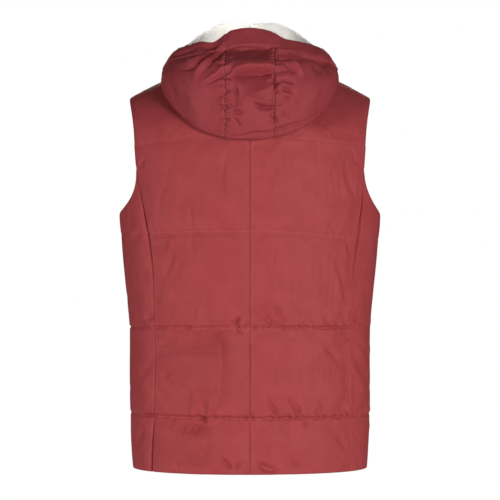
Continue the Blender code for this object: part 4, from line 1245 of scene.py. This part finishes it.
def hoodGrid():
    stops = np.linspace(0, hood["stops"], hoodMiddle + 1)
    left = np.array([hoodProfile(s) for s in stops]).transpose(1, 0, 2)
    right = left[:, :0:-1] * np.array([-1.0, 1.0, 1.0])
    grid = np.concatenate([right, left], axis=1)
    wayUp = np.arange(grid.shape[0]) / (grid.shape[0] - 1)
    high = np.clip((wayUp - hood["dipsFrom"]) / hood["dipsOver"], 0, 1)[:, None]
    for out, reach, drop in hood["rimDips"]:
        dip = drop * high ** hood["dipPower"] * bump(grid[..., 0] - out, reach)
        grid[..., 2] -= dip * (grid[..., 1] > 0)
    facing = gridNormals(grid)
    facing[:, [0, -1], 0] = 0.0
    everywhere = np.ones(grid.shape[:2], bool)
    across = walked(grid, everywhere, 1)
    across -= across[:, [hoodMiddle]]
    return grid, unit(facing), across, walked(grid, everywhere, 0)


# as the body's, but up from the neck seam
hoodFolds = foldTable([
    (200, 32, 98, 34, 324,  16, 329,  -3, 330,  -28, 331,  -50, 325),
    (34, 190, -140, 34, 314,  19, 321,  7, 323,  -10, 324,  -28, 325,  -48, 318),
    (17, 24, -59, 34, 315,  19, 322,  7, 323,  -10, 325,  -28, 326,  -48, 316),
    (36, 108, -46, 32, 393,  11, 389,  -13, 395,  -36, 396,  -56, 386),
    (108, 54, 55, 2, 278,  -15, 273,  -32, 269,  -51, 266),
    (31, 46, -105, -3, 269,  -16, 263,  -30, 259,  -51, 255),
    (34, 34, -66, 32, 251,  23, 253,  11, 250),
    (46, 46, 50, 32, 260,  16, 263,  7, 258),
    (31, 31, -55, 28, 244,  23, 238,  15, 227),
    (108, 108, -18, -21, 308,  -7, 300,  8, 296),
    (61, 61, -44, 26, 300,  19, 281,  11, 267),
    (61, 61, 32, -8, 285,  -21, 290,  -38, 291),
    (61, 46, 44, 11, 284,  0, 273,  -7, 267),
    (34, 28, -55, 28, 311,  23, 280,  26, 257),
    (28, 28, -74, -38, 315,  -43, 296,  -45, 278),
    (38, 31, 50, -32, 317,  -36, 298,  -40, 284),
    (31, 31, -55, -41, 250,  -41, 239,  -48, 229),
    (144, 144, 26, 23, 242,  0, 237,  -30, 240),
    (46, 61, 71, 35, 411,  48, 397,  59, 373,  69, 339,  80, 323,  92, 306,  96, 294,  100, 281),
    (28, 31, -53, 34, 400,  45, 385,  54, 362,  67, 330,  74, 320,  85, 305,  89, 293),
    (38, 46, 63, 28, 343,  38, 329,  48, 320,  59, 308,  72, 299,  82, 292),
    (28, 34, -69, 28, 332,  36, 321,  48, 310,  60, 300,  72, 291),
    (46, 46, 59, 135, 277,  120, 296,  106, 312,  86, 338,  72, 369,  50, 392),
    (26, 29, -49, 124, 283,  105, 303,  90, 318,  78, 337,  62, 360),
    (23, 31, -45, 161, 257,  132, 307,  107, 344,  93, 368),
    (72, 90, -36, 90, 369,  70, 388,  45, 397),
    (38, 38, -36, 32, 292,  43, 283,  60, 268),
    (31, 31, -47, 36, 261,  48, 255,  57, 251),
    (31, 31, 29, 36, 265,  54, 260),
    (31, 31, -44, 32, 242,  48, 231,  61, 219),
    (162, 162, 20, 123, 247,  103, 241,  74, 230),
    (72, 108, -17, 166, 231,  160, 219,  141, 218),
    (126, 126, -14, 66, 283,  75, 255,  67, 222),
    (38, 46, 110, -32, 396,  -40, 386,  -49, 370,  -66, 366,  -78, 354,  -91, 337),
    (24, 34, -77, -38, 368,  -49, 349,  -65, 348,  -81, 335),
    (23, 31, -77, -59, 381,  -79, 366,  -102, 332,  -126, 299,  -165, 242),
    (38, 46, 71, -66, 343,  -76, 328,  -84, 317,  -96, 294),
    (38, 46, -48, -58, 331,  -71, 318,  -82, 303),
    (31, 31, -42, -54, 302,  -63, 297,  -76, 290),
    (31, 31, -42, -54, 288,  -76, 274),
    (31, 31, -42, -57, 271,  -72, 259),
    (31, 31, 28, -54, 295,  -76, 282),
    (31, 31, 28, -54, 281,  -72, 267),
    (31, 31, -35, -51, 318,  -69, 314),
    (90, 90, -22, -87, 318,  -111, 278),
    (46, 46, -56, -108, 313,  -139, 260),
    (31, 31, -31, -54, 245,  -74, 230),
    (46, 46, -42, -128, 295,  -148, 263,  -171, 221),
    (126, 126, -20, -97, 280,  -96, 254,  -81, 236),
    (126, 126, 23, -127, 263,  -123, 240,  -98, 231),
    (23, 38, -64, 29, 209,  12, 210,  -15, 217,  -48, 215,  -79, 217,  -111, 207,  -143, 191),
    (61, 46, 40, 0, 221,  -43, 224,  -90, 225),
    (30, 30, -16, -41, 219,  -47, 212),
], 1)

# the seams' puckers: first and last place along the seam, side, pitch, depth, length
hoodGathers = {
    "strip": [(0.225, 0.35, 1, 0.0070, 0.0034, 0.009), (0.225, 0.35, -1, 0.0072, 0.0034, 0.009),
              (0.17, 0.225, 1, 0.0080, 0.0012, 0.007), (0.17, 0.225, -1, 0.0080, 0.0012, 0.007),
              (0.35, 0.39, 1, 0.0072, 0.0022, 0.008), (0.35, 0.39, -1, 0.0074, 0.0022, 0.008)],
    "casing": [(-0.40, 0.40, 1, 0.0080, 0.0011, 0.007), (-0.40, 0.40, -1, 0.0090, 0.0011, 0.006)],
}


def hoodRelief(across, up):
    total = foldField(across, up, hoodFolds)
    depth, reach = hood["stripGroove"]
    for k, column in enumerate((hoodMiddle - hoodStrip, hoodMiddle + hoodStrip)):
        away = across - across[:, [column]]
        total += gatherField(up, away, 0.0, hoodGathers["strip"], puckers["seeds"]["strip"] + k)
        total -= depth * bump(away, reach)
    aboveSeam = up - up[casingRow]
    depth, reach = hood["casingGroove"]
    total += gatherField(across, up, up[casingRow], hoodGathers["casing"], puckers["seeds"]["casing"])
    total -= depth * bump(aboveSeam, reach)
    total += sum(height * softNoise(across + noiseStart, up, size, seed)
                 for height, size, seed in hood["waves"])
    height, size, seed = hood["casingWaves"]
    onCasing = np.clip(aboveSeam / hood["casingOver"], 0, 1)
    waves = softNoise(across + noiseStart, up * hood["casingStretch"], size, seed)
    return total + onCasing * height * waves


def liningCrinkle(across, up):
    # the thin lining is cut a little long and lies in sharp small crinkles
    height, size, slant, seed = lining["broad"]
    broad = 1 - np.abs(softNoise(across + noiseStart + slant * up, up, size, seed)) * 2
    fineHeight, size, slant, seed = lining["fine"]
    fine = 1 - np.abs(softNoise(across + noiseStart, up - slant * across + 1, size, seed)) * 2
    middle, reach, least = lining["crinkled"]
    share = np.clip(middle - across / reach, least, 1)
    return share * (height * np.clip(broad, 0, 1) ** 2 + fineHeight * np.clip(fine, 0, 1) ** 2)


def liningSurface(skin, facing, relief, up):
    # the lining bridges each valley a little deeper than the shell, and hangs in slack above the pouch's foot
    soft = relief.copy()
    for _ in range(lining["rounds"]):
        relax(soft, 0)
        relax(soft, 1)
    deep = np.minimum(soft, relief)
    for axis, steps in lining["bridges"].items():
        deep = np.min([deep] + [np.roll(deep, k, axis) for k in steps], axis=0)
    belowCasing = np.clip((casingRow - np.arange(len(up))) / lining["slackRows"], 0, 1)[:, None]
    slack = lining["slack"] * belowCasing * np.clip((up - lining["slackAbove"]) / lining["slackOver"], 0, 1)
    return skin + facing * (deep - relief - slack)[..., None]


def standUp(piece, face):
    # in front the lining stands up past the rim
    roll = np.clip((-piece[-1, :, 1] - lining["standFrom"]) / lining["standOver"], 0, 1)[:, None]
    rise = unit(piece[-1] - piece[-3])
    edge, lean, below = lining["standUp"]
    piece[-1] += rise * edge * roll + face[-1] * lean * roll
    piece[-2] += rise * below * roll


def meetAtZip(piece, side):
    # the front edge stops a little short of the middle, inside the zip
    edge, inwards = (-1, -1.0) if side == "left" else (0, 1.0)
    below, atRim = lining["short"]
    short = np.where(np.arange(len(piece)) < len(piece) - 2, below, atRim)
    piece[:, edge, 0] += inwards * np.maximum(0.0, np.abs(piece[:, edge, 0]) - short)


def makeHoodPanels(skin, within, facing, across, up):
    shellRows = slice(0, casingRow + 1)
    turnRow = hood["hiddenRows"]
    liningRows = np.r_[0:turnRow + 1, turnRow + 2:len(skin):2]      # close together at the turn
    shellDepths = (0.0, hood["wall"])
    liningFace = hood["wall"] + hood["liningGap"]
    liningDepths = (liningFace, liningFace + hood["liningWall"])
    crinkle = liningCrinkle(across, up)
    spans = {"right": slice(0, hoodMiddle - hoodStrip + 1),
             "centre": slice(hoodMiddle - hoodStrip, hoodMiddle + hoodStrip + 1),
             "left": slice(hoodMiddle + hoodStrip, None)}
    for side, span in spans.items():
        for kind, slot, surface, depths, rows, material in (
            ("hood_", "shell", skin, shellDepths, shellRows, shadedHoodTaffeta),
            ("hood_lining_", "lining", within, liningDepths, liningRows, liningTaffeta),
        ):
            piece, face = surface[rows, span].copy(), facing[rows, span]
            if slot == "lining":
                standUp(piece, face)
                piece = piece - face * crinkle[rows, span][..., None]
                if side != "centre":
                    meetAtZip(piece, side)
            near, far = depths
            made = closedWall(kind + side + "_cloth", piece - face * near, piece - face * far,
                              np.ones(piece.shape[:2], bool), across[rows, span], up[rows, span],
                              hood["rimOut"], material)
            standIn(made, kind + side, slot)


def makeCasing(skin, facing, across, up):
    band, face = skin[casingRow:], facing[casingRow:]
    start, span, power = hood["casingSides"]
    t = np.linspace(0, 1, band.shape[0])[:, None]
    swell = hood["casingSwell"] * np.sin(math.pi * (start + span * t)) ** power
    outer = band + face * swell[..., None]
    made = closedWall("hood_casing_cloth", outer, band - face * hood["wall"], np.ones(band.shape[:2], bool),
                      across[casingRow:], up[casingRow:], hood["casingRimOut"], shadedHoodTaffeta)
    standIn(made, "hood_casing", "shell")
    return outer


def makeHood():
    grid, facing, across, up = hoodGrid()
    relief = hoodRelief(across, up)
    skin = grid + facing * relief[..., None]
    makeHoodPanels(skin, liningSurface(skin, facing, relief, up), facing, across, up)
    casing = makeCasing(skin, facing, across, up)
    return {"skin": skin, "casing": casing, "middle": grid - facing * hood["wall"] / 2, "facing": facing,
            "across": across, "up": up}


surfaces = {}
for panelFace in ("back", "front"):
    for panelSide in ("left", "right"):
        panelName = panelFace + "_" + panelSide
        surfaces[panelName] = bodyPanel(panelName, panelFace, panelSide)
print("body panels")
surfaces["hood"] = makeHood()
print("hood")

# Stitches and zip teeth

# how far each row of stitches lies from its seam, and how far the thread stands off the cloth
seams = {"centre": 0.0050, "side": 0.0022, "zip": 0.0032, "strip": 0.0024, "casing": 0.0022, "lift": 0.0001}
stitchSizes = {"Pitch": 0.0034, "Across": 0.00055, "Deep": 0.00045, "Long": 0.0030}
unevenSizes = {"Min": (0.85, 0.85, 0.80), "Max": (1.1, 1.1, 1.05), "Seed": 7}
pegSides = 8


def repeatTree(name, peg):
    # sets small shapes along lines: rounded stitches that follow the line, or pegs square to the zip
    tree = bpy.data.node_groups.new(name, "GeometryNodeTree")
    sockets = {"Geometry": "Geometry", "Pitch": "Float", "Across": "Float", "Deep": "Float", "Long": "Float",
               "Material": "Material"}
    for label, kind in sockets.items():
        tree.interface.new_socket(label, in_out="INPUT", socket_type="NodeSocket" + kind)
    tree.interface.new_socket("Geometry", in_out="OUTPUT", socket_type="NodeSocketGeometry")
    given = addNode(tree, "NodeGroupInput").outputs
    curve = addNode(tree, "GeometryNodeMeshToCurve", links={"Mesh": given["Geometry"]})
    places = addNode(tree, "GeometryNodeCurveToPoints",
                     links={"Curve": curve.outputs["Curve"], "Length": given["Pitch"]}, mode="LENGTH")
    turn = addNode(tree, "FunctionNodeAlignRotationToVector", links={"Vector": places.outputs["Tangent"]},
                   axis="Z", pivot_axis="X" if peg else "AUTO")
    if peg:
        upright = addNode(tree, "GeometryNodeMeshCylinder",
                          {"Vertices": pegSides, "Radius": 0.5, "Depth": 1.0})
        shape = addNode(tree, "GeometryNodeTransform", {"Rotation": (math.pi / 2, 0.0, 0.0)},
                        {"Geometry": upright.outputs["Mesh"]}).outputs["Geometry"]
    else:
        shape = addNode(tree, "GeometryNodeMeshIcoSphere", {"Radius": 0.5, "Subdivisions": 1}).outputs["Mesh"]
    size = addNode(tree, "ShaderNodeCombineXYZ",
                   links={"X": given["Across"], "Y": given["Deep"], "Z": given["Long"]})
    uneven = addNode(tree, "FunctionNodeRandomValue", unevenSizes, data_type="FLOAT_VECTOR")
    scale = addNode(tree, "ShaderNodeVectorMath",
                    links={0: size.outputs["Vector"], 1: uneven.outputs["Value"]}, operation="MULTIPLY")
    scattered = addNode(tree, "GeometryNodeInstanceOnPoints", links={
        "Points": places.outputs["Points"], "Instance": shape, "Rotation": turn.outputs["Rotation"],
        "Scale": scale.outputs["Vector"]})
    real = addNode(tree, "GeometryNodeRealizeInstances", links={"Geometry": scattered.outputs["Instances"]})
    smooth = addNode(tree, "GeometryNodeSetShadeSmooth", {"Shade Smooth": not peg},
                     {"Geometry": real.outputs["Geometry"]})
    painted = addNode(tree, "GeometryNodeSetMaterial",
                      links={"Geometry": smooth.outputs["Geometry"], "Material": given["Material"]})
    addNode(tree, "NodeGroupOutput", links={"Geometry": painted.outputs["Geometry"]})
    return tree


def repeated(name, lines, tree, sizes, material):
    # sizes: Pitch, Across, Deep and Long, in metres
    points, edges = [], []
    for line in lines:
        first = len(points)
        points += [tuple(p) for p in line]
        edges += [(first + k, first + k + 1) for k in range(len(line) - 1)]
    mesh = bpy.data.meshes.new(name + "_lines")
    mesh.from_pydata(points, edges, [])
    source = addObject(name + "_lines", mesh)
    modifier = source.modifiers.new("repeat", "NODES")
    modifier.node_group = tree
    given = {**sizes, "Material": material}
    for item in tree.interface.items_tree:
        if item.in_out == "INPUT" and item.name in given:
            modifier[item.identifier] = given[item.name]
    shown = source.evaluated_get(bpy.context.evaluated_depsgraph_get())
    thing = addObject(name, bpy.data.meshes.new_from_object(shown))
    bpy.data.objects.remove(source)
    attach(thing, "garment")
    return thing


def rowLine(surface, row):
    inside = surface["mask"][row]
    return (surface["skin"][row] + surface["facing"][row] * seams["lift"])[inside]


def insetLine(surface, distance, inset, rows):
    # a line at a given distance from a panel's edge, row by row
    skin, facing = surface["skin"], surface["facing"]
    line = []
    for r in rows:
        order = np.argsort(distance[r])
        at = np.interp(inset, distance[r][order], np.arange(len(order))[order])
        k = int(np.clip(math.floor(at), 0, len(order) - 2))
        line.append((skin[r, k] * (k + 1 - at) + skin[r, k + 1] * (at - k)) + facing[r, k] * seams["lift"])
    return np.array(line)


def makeStitches():
    lines = []
    for name in ("back_left", "back_right", "front_left", "front_right"):
        surface = surfaces[name]
        lines += [rowLine(surface, row) for row in quiltRows[1:]]
        seam, end = ("side", seamTopRow) if name.startswith("back") else ("zip", topRow)
        lines.append(insetLine(surface, surface["last"], seams[seam], range(1, end)))
    right = surfaces["back_right"]
    lines.append(insetLine(right, right["first"], seams["centre"], range(1, yokeRow)))
    top = surfaces["hood"]
    for column in (hoodMiddle - hoodStrip, hoodMiddle + hoodStrip):
        away = top["across"] - top["across"][:, [column]]
        for side in (-1, 1):
            lines.append(insetLine(top, away * side, seams["strip"], range(1, casingRow - 1)))
    rise = top["up"][casingRow:] - top["up"][casingRow]
    band = {"skin": top["casing"].transpose(1, 0, 2), "facing": top["facing"][casingRow:].transpose(1, 0, 2)}
    lines.append(insetLine(band, rise.T, seams["casing"], range(1, rise.shape[1] - 1)))
    made = repeated("stitches", lines, repeatTree("stitches along lines", False), stitchSizes, thread)


zipSizes = {
    "edge": 0.0077, "parting": 0.00015, "wall": 0.0012, "rimOut": 0.00015, "columns": 8, "step": 0.003,
    "box": 0.0093, "boxHalf": 0.0052, "slider": (0.0430, 0.0560),
    "closed": 0.0012, "open": 0.0019,      # from the middle to a tooth's middle, below and above the slider
    "cutWidth": 0.015, "shownWidth": 0.0076,      # half of the tape is sewn inside the panel
}
toothSizes = {"Pitch": 0.0028, "Across": 0.0034, "Deep": 0.0021, "Long": 0.0015}


def zipPath(side):
    column = -1 if side == "left" else 0
    front, top = surfaces["front_" + side], surfaces["hood"]
    line = np.concatenate([front["middle"][:, -1], top["middle"][1:, column]])
    line = evenPoints(line, np.linspace(0, 1, int(lengthOf(line) / zipSizes["step"])))
    way = unit(np.gradient(line, axis=0))
    out = unit(np.stack([np.zeros(len(way)), -way[:, 2], way[:, 1]], 1))
    return line, out


def makeTape(side, sign, line, out, aboveBox):
    places = np.linspace(zipSizes["parting"], zipSizes["edge"], zipSizes["columns"])
    boxHalf = zipSizes["boxHalf"]
    places[np.argmin(np.abs(places - boxHalf))] = boxHalf      # a column on the box's side
    mask = aboveBox[:, None] | (places >= boxHalf)[None, :]
    grid = np.repeat(line[:, None], len(places), axis=1)
    grid[..., 0] = sign * places
    half = np.repeat(out[:, None], len(places), axis=1) * zipSizes["wall"] / 2
    up = distances(line)
    across = np.repeat(sign * places[None, :], len(line), axis=0)
    made = closedWall("zip_tape_" + side + "_cloth", grid + half, grid - half, mask, across,
                      np.repeat(up[:, None], len(places), axis=1), zipSizes["rimOut"], zipTape)
    standIn(made, "zip_tape_" + side, "zip_tape")


def toothLines(side, sign, line, aboveBox):
    # teeth of the two sides take turns, and stand apart above the slider
    low, high = zipSizes["slider"]
    closed, parted = aboveBox & (line[:, 2] < low), line[:, 2] > high
    lines = []
    for part, out in ((closed, zipSizes["closed"]), (parted, zipSizes["open"])):
        places = line[part].copy()
        places[:, 0] = sign * out
        if side == "right":
            end = places[-1].copy()
            places = places + unit(places[1] - places[0]) * toothSizes["Pitch"] / 2
            places[-1] = end
        lines.append(places)
    return lines


def makeZip():
    teeth = []
    for side, sign in (("left", 1.0), ("right", -1.0)):
        line, out = zipPath(side)
        boxTop = body["hem"] + zipSizes["box"]
        line[np.argmin(np.abs(line[:, 2] - boxTop)), 2] = boxTop      # a row on the box's top
        aboveBox = line[:, 2] >= boxTop
        makeTape(side, sign, line, out, aboveBox)
        teeth += toothLines(side, sign, line, aboveBox)
    made = repeated("zip_teeth", teeth, repeatTree("teeth along the zip", True), toothSizes, moulding)
    for name in ("zip_slider", "zip_pull", "zip_box"):
        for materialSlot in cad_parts[name].material_slots:
            materialSlot.material = enamel


makeStitches()
makeZip()
print("stitches and zip")
